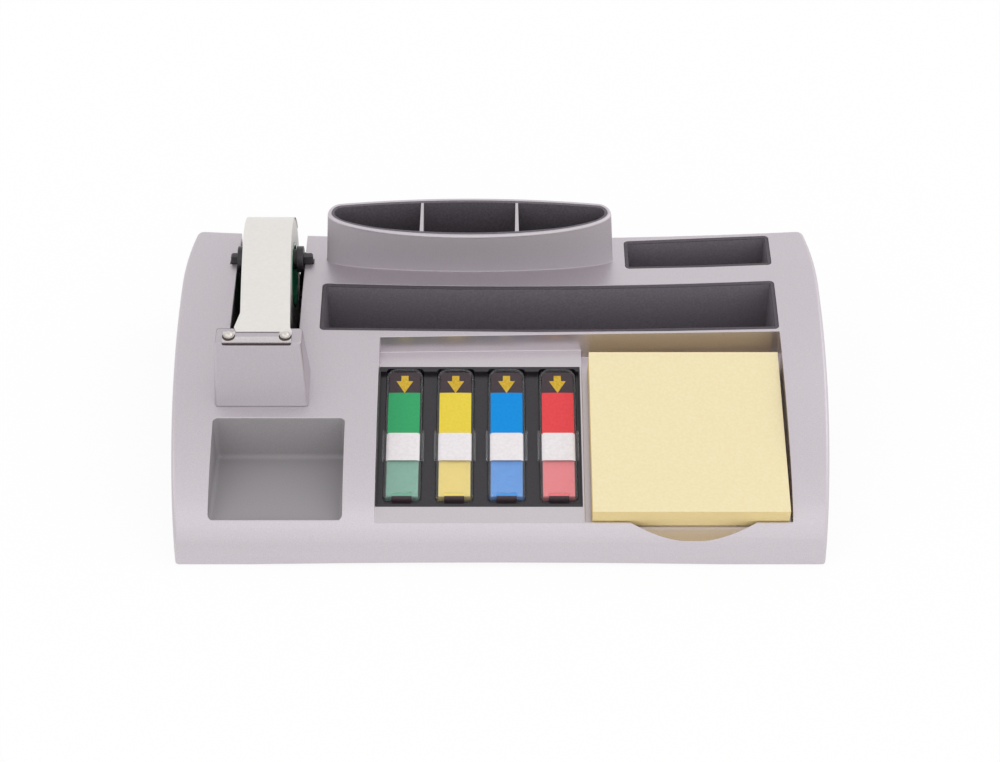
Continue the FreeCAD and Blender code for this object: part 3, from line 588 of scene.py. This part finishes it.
cup_wall = start("circle", "cup_wall", vertices=CUP_POINTS, radius=CUP_LOW["half"] * MM,
                 location=spot(CUP_X, CUP_LOW["y"], CUP_LOW["z"]), fill_type="NOTHING")
for number, ring in enumerate(rings):
    if number:
        bpy.ops.mesh.extrude_edges_move()
    bpy.ops.object.mode_set(mode="OBJECT")
    vertices = cup_wall.data.vertices
    first = len(vertices) - CUP_POINTS
    for step, point in enumerate(ring):
        vertices[first + step].co = spot(*point)
    bpy.ops.object.mode_set(mode="EDIT")
bpy.ops.mesh.select_all(action="DESELECT")
bpy.ops.mesh.select_non_manifold(extend=False)
bpy.ops.mesh.bridge_edge_loops()
# The wall gets the darker copy of the lacquer: painted shade.
finished(cup_wall, silver_cup_painted_shade, "housing", crease=60, node="cup_shell")

# %% [markdown]
# The wall of the cup has a darker, duller copy of the lacquer, painted shade for the dark that its
# face mirrors. The rim keeps the finish of the deck.

# %% Finish of the rim
RIM_SHARE = 0.9               # the part of the rounding that belongs to the rim


def second_finish(piece, finish, wanted):
    """Gives another finish to the faces whose middle passes a test."""
    piece.data.materials.append(finish)
    select_only(piece)
    bpy.ops.object.mode_set(mode="EDIT")
    pick(piece, wanted, "FACE")
    piece.active_material_index = len(piece.data.materials) - 1
    bpy.ops.object.material_slot_assign()
    bpy.ops.object.mode_set(mode="OBJECT")
    share = sum(f.material_index == piece.active_material_index for f in piece.data.polygons)
    print(finish.name, "on", share, "of", len(piece.data.polygons), "faces")


def on_cup_rim(m):
    """True for places within the rounding of the rim, which slopes up to the rear."""
    rise = (m.y + REAR_SHIFT - CUP_RIM["y"]) * math.tan(math.radians(CUP_RIM["tilt"]))
    return m.z - STAND > CUP_RIM["z"] + rise - RIM_ROUND * RIM_SHARE


second_finish(cup_wall, silver_abs, on_cup_rim)

# %% [markdown]
# ## Note pad
# A pad is a block of square sheets glued along their rear edge. From afar it is a box, but its
# front shows fine lines where the sheets don't quite line up, and its corners are crisp. Each
# sheet is a thin box of its own, moved by a few hundredths of a millimetre.

# %% Shuffled sheets
PAD_SIDE = 76.2
PAD_LEFT = 35.6
PAD_REAR = 5.8
PAD_LOW = -3.5           # underside, off the recess floor
PAD_THICK = 10.0
SHEETS = 44              # real sheets are 0.1 mm thick, too fine to show, so each stands for two
SHEET_SHIFT = 0.07       # most that a sheet lies off its place
SHEET_OUT = 0.2          # share of that by which its front may stand out
SHEET_LOOSE = 0.4        # the lowest sheet has this share of it, and the top one has one more
SHEET_TRIM = 0.1         # sheets are cut this much short
SHEET_FILL = 0.93        # share of its room that a sheet fills, which leaves a fine line
shuffle = random.Random(7)

sheets = []
thick = PAD_THICK / SHEETS
for number in range(SHEETS):
    loose = number / SHEETS
    aside = shuffle.uniform(-1, 1) * SHEET_SHIFT
    forward = shuffle.uniform(-1, SHEET_OUT) * SHEET_SHIFT * (SHEET_LOOSE + loose)
    middle = sloped(PAD_LEFT + PAD_SIDE / 2 + aside, -PAD_REAR - PAD_SIDE / 2 - forward * 0.5,
                    PAD_LOW + thick * (number + 0.5))
    sheet = start("cube", "sheet", size=1, location=middle, rotation=(SLOPE, 0, 0),
                  scale=((PAD_SIDE - SHEET_TRIM) * MM, (PAD_SIDE - SHEET_TRIM + forward) * MM,
                         thick * SHEET_FILL * MM))
    bpy.ops.object.mode_set(mode="OBJECT")
    sheets.append(sheet)
top_sheet = sheets.pop()
top_sheet.name = "note_top"
pad = joined("note_sheets", sheets)
finished(pad, note_edge, "notes", crease=10, node="note_pad")
finished(top_sheet, note_paper, "notes", crease=10)

# %% [markdown]
# ## Tape roll
# Tape is wound on a core, and its side shows the edges of hundreds of turns as fine rings. A
# profile of half the wall is drawn with small steps on both sides, and spun round the axis of the
# roll. The steps are drawn 0.5 mm apart, because the real turns are a tenth of that and would not
# show.

# %% Wound roll
ROLL_Y, ROLL_Z = 131.6, 40.4
ROLL_OUTER, ROLL_INNER = 23.6, 13.9
ROLL_X = (-104.9, -86.1)
SIDE_STEPS, RIM_STEPS, SPIN_STEPS = 18, 6, 120
TURN_DEPTHS = (0.0, 0.03, 0.07, 0.11)     # how far the turns lie back on the sides
wander = random.Random(11)
middle_x = sum(ROLL_X) / 2

profile = start("plane", "tape_wound", size=1, rotation=(math.radians(90), 0, 0),
                location=spot(middle_x, ROLL_Y, ROLL_Z + (ROLL_OUTER + ROLL_INNER) / 2),
                scale=((ROLL_X[1] - ROLL_X[0]) * MM, (ROLL_OUTER - ROLL_INNER) * MM, 1))
bpy.ops.mesh.delete(type="ONLY_FACE")
pick(profile, lambda m: abs(m.x - middle_x) > 5, "EDGE")
bpy.ops.mesh.subdivide(number_cuts=SIDE_STEPS - 1)
bpy.ops.object.mode_set(mode="OBJECT")
for vertex in profile.data.vertices:
    inward = wander.choice(TURN_DEPTHS) * MM
    vertex.co.x -= math.copysign(inward, vertex.co.x - middle_x * MM)
bpy.ops.object.mode_set(mode="EDIT")
top_z = STAND + ROLL_Z + ROLL_OUTER
pick(profile, lambda m: abs(m.z - top_z) < NEAR and abs(m.x - middle_x) < 1, "EDGE")
bpy.ops.mesh.subdivide(number_cuts=RIM_STEPS - 1)
bpy.ops.mesh.select_all(action="SELECT")
bpy.ops.mesh.spin(steps=SPIN_STEPS, angle=2 * math.pi, center=spot(0, ROLL_Y, ROLL_Z),
                  axis=(1, 0, 0))
bpy.ops.mesh.select_all(action="SELECT")
bpy.ops.mesh.remove_doubles(threshold=NEAR * MM)
finished(profile, tape_wound_edge, "tape", crease=40, node="tape_roll")

# %% [markdown]
# The free end leaves the roll at its top, hangs towards the cutter in a very slight sag and
# sticks to the platform behind the blade, where its corner is pulled askew. A flat grid is laid
# along that line row by row and thickened by a modifier, which keeps the film even.

# %% Free end of the tape
STRIP_ROWS, STRIP_COLUMNS = 64, 8
STRIP_WIDTH = 19.0
STRIP_THICK = 0.1
STRIP_START = (-95, 95, 66)   # where the flat grid is added, before it is bent
STRIP_X = (-105.7, -85.9)     # its edges on the roll
ON_ROLL = math.radians(70)    # how far the strip follows the roll behind its top
SPRING = math.radians(34)     # over this much of the roll it springs loose
LIFT_OFF = math.radians(3)
GAP = 0.18                    # it lies this far off the roll and the platform
LOOSE = 0.45                  # the last turn has sprung off the roll by this much
PLATFORM_Z = 64.4
PLATFORM_REAR = 66.4
STRIP_END_Y = 63.6
SAG = 0.2                     # its depth in the middle
CROWN = 0.12                  # its middle stands higher than its edges by this much
ROLL_PART = 0.2               # part of its length on the roll,
FREE_PART = 0.66              # hanging free,
STUCK_PART = 0.14             # and on the platform
LANDING = 0.86                # where it meets the platform
DRIFT = (3.8, 3.7)            # its left and right edge wander right by this much
DRIFT_FROM, DRIFT_POWER = 0.22, 1.2
ASKEW = 2.3                   # its left corner is pulled out by this much
ASKEW_FROM, ASKEW_PART = 0.765, 0.095


def on_roll(turn):
    """A place in y and z on the loose last turn."""
    loose = LOOSE * math.sin(math.pi / 2 * min(1.0, (ON_ROLL - turn) / SPRING))
    radius = ROLL_OUTER + GAP + loose
    return ROLL_Y + radius * math.sin(turn), ROLL_Z + radius * math.cos(turn)


def strip_line(way):
    """Middle of the strip in y and z, from the roll (0) to its end (1)."""
    if way < ROLL_PART:
        return on_roll(ON_ROLL - (ON_ROLL + LIFT_OFF) * way / ROLL_PART)
    start_y, start_z = on_roll(-LIFT_OFF)
    if way < LANDING:
        part = (way - ROLL_PART) / FREE_PART
        y = start_y + (PLATFORM_REAR - start_y) * part
        z = start_z + (PLATFORM_Z + GAP - start_z) * part - SAG * 4 * part * (1 - part)
        return y, z
    part = (way - LANDING) / STUCK_PART
    return PLATFORM_REAR + (STRIP_END_Y - PLATFORM_REAR) * part, PLATFORM_Z + GAP


def strip_sides(way):
    """x of the strip's left and right edge."""
    drift = (max(0.0, way - DRIFT_FROM) / FREE_PART) ** DRIFT_POWER
    askew = min(1.0, max(0.0, way - ASKEW_FROM) / ASKEW_PART)
    return STRIP_X[0] + DRIFT[0] * drift - ASKEW * askew, STRIP_X[1] + DRIFT[1] * drift


strip = start("grid", "tape_free_end", x_subdivisions=STRIP_COLUMNS, y_subdivisions=STRIP_ROWS,
              size=STRIP_WIDTH * MM, location=spot(*STRIP_START))
bpy.ops.object.mode_set(mode="OBJECT")
low_x, low_y = (min(v.co[axis] for v in strip.data.vertices) for axis in (0, 1))
for vertex in strip.data.vertices:
    across = (vertex.co.x - low_x) / (STRIP_WIDTH * MM)
    way = 1 - (vertex.co.y - low_y) / (STRIP_WIDTH * MM)
    y, z = strip_line(way)
    left, right = strip_sides(way)
    free = min(1.0, max(0.0, (way - ROLL_PART) / FREE_PART))
    crown = CROWN * math.sin(math.pi * across) * math.sin(math.pi * free)
    vertex.co = spot(left + (right - left) * across, y, z + crown)
modified(strip, "SOLIDIFY", thickness=STRIP_THICK * MM, offset=1.0)
finished(strip, tape_film, "spindle", crease=50, node="tape_strip")

# %% [markdown]
# ## Blade and rivets
# The blade is stamped from thin stainless strip. It lies flat on the platform with an arm at each
# end, and its front is folded down into a lip that is ground and carries saw teeth. A flat bar is
# cut with two bisections, its rear faces at the ends are extruded into arms, and its front face
# is extruded and turned in steps to make the fold.

# %% Blade
BLADE_X = (-108.3, -81.4)
BLADE_Y = (56.7, 60.2)
BLADE_TOP = 64.95
BLADE_THICK = 0.5
BLADE_ROUND = 0.1
ARM_WIDTH, ARM_LENGTH = 4.8, 3.1
FOLD_STEPS = 4
FOLD_TURN = math.radians(90)
FOLD_RADIUS = 0.1             # inner radius of the fold

blade_middle = sum(BLADE_X) / 2
blade_length = BLADE_X[1] - BLADE_X[0]
arm_ends = (BLADE_X[0] + ARM_WIDTH, BLADE_X[1] - ARM_WIDTH)
middle = spot(blade_middle, sum(BLADE_Y) / 2, BLADE_TOP - BLADE_THICK / 2)
blade = start("cube", "saw_blade", size=1, location=middle,
              scale=(blade_length * MM, (BLADE_Y[1] - BLADE_Y[0]) * MM, BLADE_THICK * MM))
for x in arm_ends:
    cut(spot(x, 0, 0), (1, 0, 0))
front_y, rear_y = (y - REAR_SHIFT for y in BLADE_Y)
pick(blade, lambda m: abs(m.y - rear_y) < NEAR and not arm_ends[0] <= m.x <= arm_ends[1], "FACE")
bpy.ops.mesh.extrude_region_move(TRANSFORM_OT_translate={"value": (0, ARM_LENGTH * MM, 0)})
pick(blade, lambda m: abs(m.y - front_y) < NEAR, "FACE")
hinge = spot(0, BLADE_Y[0], BLADE_TOP - BLADE_THICK - FOLD_RADIUS)
for step in range(FOLD_STEPS):
    bpy.ops.mesh.extrude_region_move()
    bpy.ops.transform.rotate(value=FOLD_TURN / FOLD_STEPS, orient_axis="X", center_override=hinge)
bpy.ops.object.mode_set(mode="OBJECT")
lip_low = min(v.co.z for v in blade.data.vertices)
lip_front = min(v.co.y for v in blade.data.vertices)
print("fold ends", round((BLADE_TOP + STAND) - lip_low / MM, 2), "mm below the top")
bevelled(blade, BLADE_ROUND, angle=50)
finished(blade, blade_steel, "housing", crease=30, node="cutter_blade")

# %% Dark lip with its lower corners rounded, painted shade on the fold
# The lip and the teeth are dark steel: painted shade for the dark that the bent edge mirrors.
LIP_DEPTH = 1.0
LIP_PLAY = 1.04               # the lip is this much thicker than the blade, so it covers it
LIP_CORNER, CORNER_SEGMENTS = 0.7, 5

lip_middle = Vector((blade_middle * MM, lip_front + BLADE_THICK * MM / 2,
                     lip_low - LIP_DEPTH * MM / 2))
lip = start("cube", "saw_lip", size=1, location=lip_middle,
            scale=(blade_length * MM, BLADE_THICK * LIP_PLAY * MM, LIP_DEPTH * MM))
corner_z = lip_middle.z / MM - LIP_DEPTH / 2
pick(lip, lambda m: abs(abs(m.x - blade_middle) - blade_length / 2) < NEAR
     and abs(m.z - corner_z) < NEAR, "EDGE")
bpy.ops.mesh.bevel(offset=LIP_CORNER * MM, segments=CORNER_SEGMENTS)
bpy.ops.object.mode_set(mode="OBJECT")
lip_low = min(v.co.z for v in lip.data.vertices)
print("lip ends", round((BLADE_TOP + STAND) - lip_low / MM, 2), "mm below the top")

# %% Saw teeth, each a flattened pyramid
TOOTH_PITCH = 1.17
TOOTH_HEIGHT = 0.6
TOOTH_FOOT = 0.7              # radius of its foot as a share of the pitch
TOOTH_TIP = 0.06
TOOTH_FLAT = 0.4              # the share of its thickness that is left
TOOTH_SUNK = 0.1              # its foot reaches this far into the lip
TOOTH_MARGIN = 2.2            # length of the lip without teeth, both ends together

teeth = []
count = int((blade_length - TOOTH_MARGIN) / TOOTH_PITCH)
for number in range(count):
    x = blade_middle + (number - (count - 1) / 2) * TOOTH_PITCH
    place = Vector((x, lip_middle.y / MM, lip_low / MM + TOOTH_SUNK - TOOTH_HEIGHT / 2)) * MM
    tooth = start("cone", "tooth", vertices=4, radius1=TOOTH_PITCH * TOOTH_FOOT * MM,
                  radius2=TOOTH_TIP * MM, depth=TOOTH_HEIGHT * MM, location=place,
                  rotation=(math.pi, 0, math.radians(45)))
    bpy.ops.mesh.select_all(action="SELECT")
    bpy.ops.transform.resize(value=(1, TOOTH_FLAT, 1), center_override=place)
    bpy.ops.object.mode_set(mode="OBJECT")
    teeth.append(tooth)
lip = joined("saw_lip", [lip] + teeth)
finished(lip, painted_shade_steel, "housing", crease=30)

# %% [markdown]
# Each rivet has a flat rim and a low dome. A sphere is flattened, its lower half is cut away by a
# bisection that leaves the cut open, and the open ring is extruded outwards and down for the rim.

# %% Domed rivets
RIVETS = ((-105.9, 61.0), (-83.8, 61.0))
DOME_RADIUS, DOME_HEIGHT = 1.85, 1.45
DOME_CUT = 0.12               # height of the cut over the blade
RIM_SPREAD, RIM_DROP = 1.14, 0.14

rivets = []
for x, y in RIVETS:
    foot = spot(x, y, BLADE_TOP)
    rivet = start("uv_sphere", "rivet", segments=32, ring_count=16, radius=1, location=foot,
                  scale=(DOME_RADIUS * MM, DOME_RADIUS * MM, DOME_HEIGHT * MM))
    cut(foot + Vector((0, 0, DOME_CUT * MM)), (0, 0, 1), clear_inner=True)
    bpy.ops.mesh.extrude_edges_move()
    bpy.ops.transform.resize(value=(RIM_SPREAD, RIM_SPREAD, 1), center_override=foot)
    bpy.ops.mesh.extrude_edges_move(TRANSFORM_OT_translate={"value": (0, 0, -RIM_DROP * MM)})
    bpy.ops.mesh.edge_face_add()
    bpy.ops.object.mode_set(mode="OBJECT")
    rivets.append(rivet)
rivets = joined("rivet_domes", rivets)
finished(rivets, rivet_steel, "housing", crease=40, node="blade_rivets")

# %% Dark discs under the rivets, painted shadows
# Each dark disc lies forward of its rivet, so a dark crescent shows in front of it: a painted
# shadow of the rivet on the blade.
SHADOW_DISC_RADIUS, SHADOW_DISC_THICK = 2.5, 0.12
SHADOW_DISC_FORWARD = 0.85         # its middle lies this far in front of the rivet's
SHADOW_DISC_LEDGE, SHADOW_DISC_DISH = 0.25, 0.04

shadow_discs = []
shadow_disc_top = BLADE_TOP + STAND + SHADOW_DISC_THICK
for x, y in RIVETS:
    shadow_disc = start("cylinder", "shadow_disc", vertices=40, radius=SHADOW_DISC_RADIUS * MM,
                   depth=SHADOW_DISC_THICK * MM,
                   location=spot(x, y - SHADOW_DISC_FORWARD, BLADE_TOP + SHADOW_DISC_THICK / 2))
    pick(shadow_disc, lambda m: abs(m.z - shadow_disc_top) < NEAR, "FACE")
    bpy.ops.mesh.inset(thickness=SHADOW_DISC_LEDGE * MM, depth=-SHADOW_DISC_DISH * MM)
    bpy.ops.object.mode_set(mode="OBJECT")
    shadow_discs.append(shadow_disc)
shadow_discs = joined("rivet_painted_shadows", shadow_discs)
finished(shadow_discs, painted_shade_steel, "housing", crease=30)

# %% [markdown]
# ## Flag dispensers
# Each dispenser is a clear polystyrene tub with grip wings and a thin cover over its front half.
# Clear plastic is seen by its edges, and no moulded edge is sharp, so each tub gets a fine bevel
# that catches the light. `copy_of` joins coplanar triangles first, because a bevel follows every
# edge it is given.

# %% Clear tubs with soft edges
FLAG_FIRST_X = -38.4
FLAG_PITCH = 20.45
TUB_ROUND = 0.22

for colour in FLAG_INKS:
    tub = copy_of("flag_case_" + colour, "flag_tub_" + colour)
    bevelled(tub, TUB_ROUND)
    finished(tub, clear_ps, "flags_" + colour, crease=30,
             node="flag_case_" + colour)

# %% [markdown]
# The flags are thin film. The bright end of the next flag lies behind the white band and lifts a
# little at its tip, the band bends over both sides of the tub, and a dark card behind the tab
# carries a plain gold arrow that shows which way to pull. Films are flat grids, bent by a formula
# and thickened.

# %% Bent film
FILM_ROWS = 12
FILM_THICK = 0.1
TAB_HEIGHT, TAB_CURL, TAB_BOW = 0.42, 0.5, 0.004
BAND_HEIGHT, BAND_FLAT, BAND_BEND = 0.66, 5.5, 0.5      # flat this far off its middle
CARD_HEIGHT, CARD_BOW = 0.1, 0.006
SHADE_FLAP_HEIGHT, SHADE_FLAP_FOLD = 0.5, 2.4


def film(name, width, rear, front, lift, columns=6):
    """A film whose height is given by lift, from x off its middle and the way to its rear."""
    piece = start("grid", name, x_subdivisions=columns, y_subdivisions=FILM_ROWS, size=1,
                  scale=(width, rear - front, 1))
    bpy.ops.object.mode_set(mode="OBJECT")
    for vertex in piece.data.vertices:
        x, way = vertex.co.x, vertex.co.y / (rear - front) + 0.5
        vertex.co = Vector((x, front + (rear - front) * way, lift(x, way)))
    return modified(piece, "SOLIDIFY", thickness=FILM_THICK, offset=1.0)


def laid(piece, x):
    """Moves a piece from millimetres in the recess to its place in metres."""
    for vertex in piece.data.vertices:
        vertex.co = sloped(x + vertex.co.x, vertex.co.y, vertex.co.z)
    return piece


def tab_lift(x, way):
    """Curls up towards its rear end, and bows down at its sides there."""
    return TAB_HEIGHT + TAB_CURL * way ** 3 - TAB_BOW * x * x * way


def band_lift(x, _):
    """Bends down over both sides of the tub."""
    return BAND_HEIGHT - BAND_BEND * max(0.0, abs(x) - BAND_FLAT) ** 1.5


def card_lift(x, _):
    """Bows down a little at its sides."""
    return CARD_HEIGHT - CARD_BOW * x * x


def shade_flap_lift(_, way):
    """Folds down over the front end of the tub, a dark film that paints the shade in its mouth."""
    return SHADE_FLAP_HEIGHT - SHADE_FLAP_FOLD * (1 - way) ** 2


print("tab lifts by", round(tab_lift(0, 1) - tab_lift(0, 0), 2), "mm at its tip")

# %% Tabs, bands, cards and gold arrows
TAB = (12.7, -22.0, -41.8)            # width, and the way to its rear and its front end
BAND = (13.1, -41.3, -54.3)
CARD = (12.4, -11.4, -24.0)
# The flap is a dark film folded over the front end of each tub: painted shade in its mouth. It
# shares the card's dark print.
SHADE_FLAP = (7.8, -70.9, -72.4)
HEAD_RADIUS, HEAD_AT = 3.9, -17.7
SHAFT_SIZE, SHAFT_AT = (2.9, 2.7, 1), -14.5
FOIL_LIFT, FOIL_THICK = 0.11, 0.05    # over the card

for number, colour in enumerate(FLAG_INKS):
    x = FLAG_FIRST_X + number * FLAG_PITCH
    body = "flags_" + colour
    tab = laid(film("tab_film_" + colour, *TAB, tab_lift), x)
    finished(tab, tab_film[colour], body, node="flag_tab_" + colour)
    band = laid(film("band_film_" + colour, *BAND, band_lift, columns=20), x)
    finished(band, band_film, body, node="flag_band_" + colour)
    card = laid(film("card_" + colour, *CARD, card_lift, columns=8), x)
    finished(card, card_and_shade_film, body)
    shade_flap = laid(film("shade_flap_" + colour, *SHADE_FLAP, shade_flap_lift), x)
    finished(shade_flap, card_and_shade_film, body)
    head = start("circle", "arrow_head", vertices=3, radius=HEAD_RADIUS, fill_type="NGON",
                 rotation=(0, 0, math.pi), location=(0, HEAD_AT, 0))
    bpy.ops.object.mode_set(mode="OBJECT")
    shaft = start("plane", "arrow_shaft", size=1, location=(0, SHAFT_AT, 0), scale=SHAFT_SIZE)
    bpy.ops.object.mode_set(mode="OBJECT")
    arrow = joined("gold_arrow_" + colour, [head, shaft])
    on_all(arrow, bpy.ops.mesh.subdivide, number_cuts=3)
    for vertex in arrow.data.vertices:
        vertex.co.z = card_lift(vertex.co.x, 0) + FOIL_LIFT
    modified(arrow, "SOLIDIFY", thickness=FOIL_THICK, offset=1.0)
    finished(laid(arrow, x), gold_foil, body)

# %% [markdown]
# ## Soft edges
# A moulded or sprayed edge is never sharp: it holds a thin line of light or dark. Real radii here
# are 0.2 to 0.5 mm. The housing, the block under the blade, the charcoal bins and the spindle get
# such edges on merged copies. The radius on the housing is the smallest, because the edges of the
# thumb notch run out into the arch at a shallow angle.

# %% Bevelled copies
SHELL_ROUND, BLOCK_ROUND, BIN_ROUND, AXLE_ROUND = 0.22, 0.5, 0.4, 0.25
CREASE = 30                   # degrees, edges sharper than this are rounded and stay crisp


def softened(node, name, radius, segments=2, miter="MITER_ARC"):
    """A copy of a CAD node with its sharp edges rounded."""
    return bevelled(copy_of(node, name), radius, segments, CREASE, use_clamp_overlap=False,
                    miter_outer=miter)


shell = softened("top_shell", "housing_shell", SHELL_ROUND, miter="MITER_SHARP")
finished(shell, silver_abs, "housing", CREASE, node="top_shell")
block = softened("cutter_block", "cutter_pedestal", BLOCK_ROUND, segments=3)
# The block gets the darker copy of the lacquer: painted shade.
finished(block, silver_painted_shade_block, "housing", CREASE, node="cutter_block")
bins = softened("storage_tray", "bin_moulding", BIN_ROUND)
finished(bins, bin_abs, "housing", CREASE, node="storage_tray")
axle = softened("tape_spindle", "spindle_moulding", AXLE_ROUND)
finished(axle, black_ps, "spindle", CREASE, node="tape_spindle")

# %% [markdown]
# Smooth shading would let the narrow faces of a bevel bend the light on the large flat faces
# beside them. Weighted normals follow the largest face, so flats stay flat.

# %% Weighted normals
for piece in (shell, block, bins, axle):
    modified(piece, "WEIGHTED_NORMAL", keep_sharp=True)
    print(piece.name, "has weighted normals")

# %% [markdown]
# In the recess the lacquer is sprayed straight on and lies smooth, so its walls mirror the yellow
# pad. Inside the front bin the shell gets a greyer, duller copy of the lacquer, which paints the
# shade in that hollow. The rims of the charcoal bins get a darker copy of their plastic, painted
# shade that keeps them as dark as their walls. Faces are chosen by place: inside an opening's
# outline and below the arch of the deck, or right under the arch.

# %% Second finishes on the housing and the bins
FRONT_BIN = ((-113.6, -60.7), (8.0, 47.5), 13.4)        # x, y and the lowest z
RECESS = ((-49.2, 113.7), (2.0, 91.5), 5.0)
BELOW_DECK = 0.3              # faces of an opening lie at least this far under the arch
RIM_HEIGHT = 1.0


def inside(opening):
    """A test for places inside an opening's outline and below the deck."""
    (left, right), (front, rear), low = opening

    def test(m):
        y, z = m.y + REAR_SHIFT, m.z - STAND
        return left < m.x < right and front < y < rear and low < z < deck_height(y) - BELOW_DECK
    return test


def on_shaded_bin_rim(m):
    """True for places right under the arch of the deck."""
    return m.z - STAND > deck_height(m.y + REAR_SHIFT) - RIM_HEIGHT


second_finish(shell, silver_smooth, inside(RECESS))
second_finish(shell, silver_painted_shade_bin, inside(FRONT_BIN))
# The rims of the bins get the darker charcoal: painted shade.
second_finish(bins, bin_rim_painted_shade, on_shaded_bin_rim)

# %% [markdown]
# A black insert closes the foot of the slot behind the roll and the gaps beside the roll, so that
# no light comes through there. A bar is cut with three bisections, its low front is extruded
# forwards under the roll, and its ends are extruded upwards into cheeks.

# %% Insert behind the roll
SILL_X = (-109.4, -81.6)
SILL_Y = (151.3, 152.95)
SILL_Z = (15.9, 25.0)
SILL_FOOT = 1.4              # height of its foot
SILL_REACH = 4.0             # and its length
SILL_ROUND = 0.35
CHEEK_X = (-105.1, -85.9)    # inner sides of the cheeks
CHEEK_TOP = 36.5

sill = start("cube", "well_sill", size=1,
             location=spot(sum(SILL_X) / 2, sum(SILL_Y) / 2, sum(SILL_Z) / 2),
             scale=((SILL_X[1] - SILL_X[0]) * MM, (SILL_Y[1] - SILL_Y[0]) * MM,
                    (SILL_Z[1] - SILL_Z[0]) * MM))
cut(spot(0, 0, SILL_Z[0] + SILL_FOOT), (0, 0, 1))
for x in CHEEK_X:
    cut(spot(x, 0, 0), (1, 0, 0))
front_y = SILL_Y[0] - REAR_SHIFT
foot_z, top_z = STAND + SILL_Z[0] + SILL_FOOT, STAND + SILL_Z[1]
pick(sill, lambda m: abs(m.y - front_y) < NEAR and m.z < foot_z, "FACE")
bpy.ops.mesh.extrude_region_move(TRANSFORM_OT_translate={"value": (0, -SILL_REACH * MM, 0)})
pick(sill, lambda m: abs(m.z - top_z) < NEAR and not CHEEK_X[0] < m.x < CHEEK_X[1], "FACE")
bpy.ops.mesh.extrude_region_move(
    TRANSFORM_OT_translate={"value": (0, 0, (CHEEK_TOP - SILL_Z[1]) * MM)})
bpy.ops.object.mode_set(mode="OBJECT")
bevelled(sill, SILL_ROUND, segments=3)
finished(sill, well_black, "housing", crease=30)
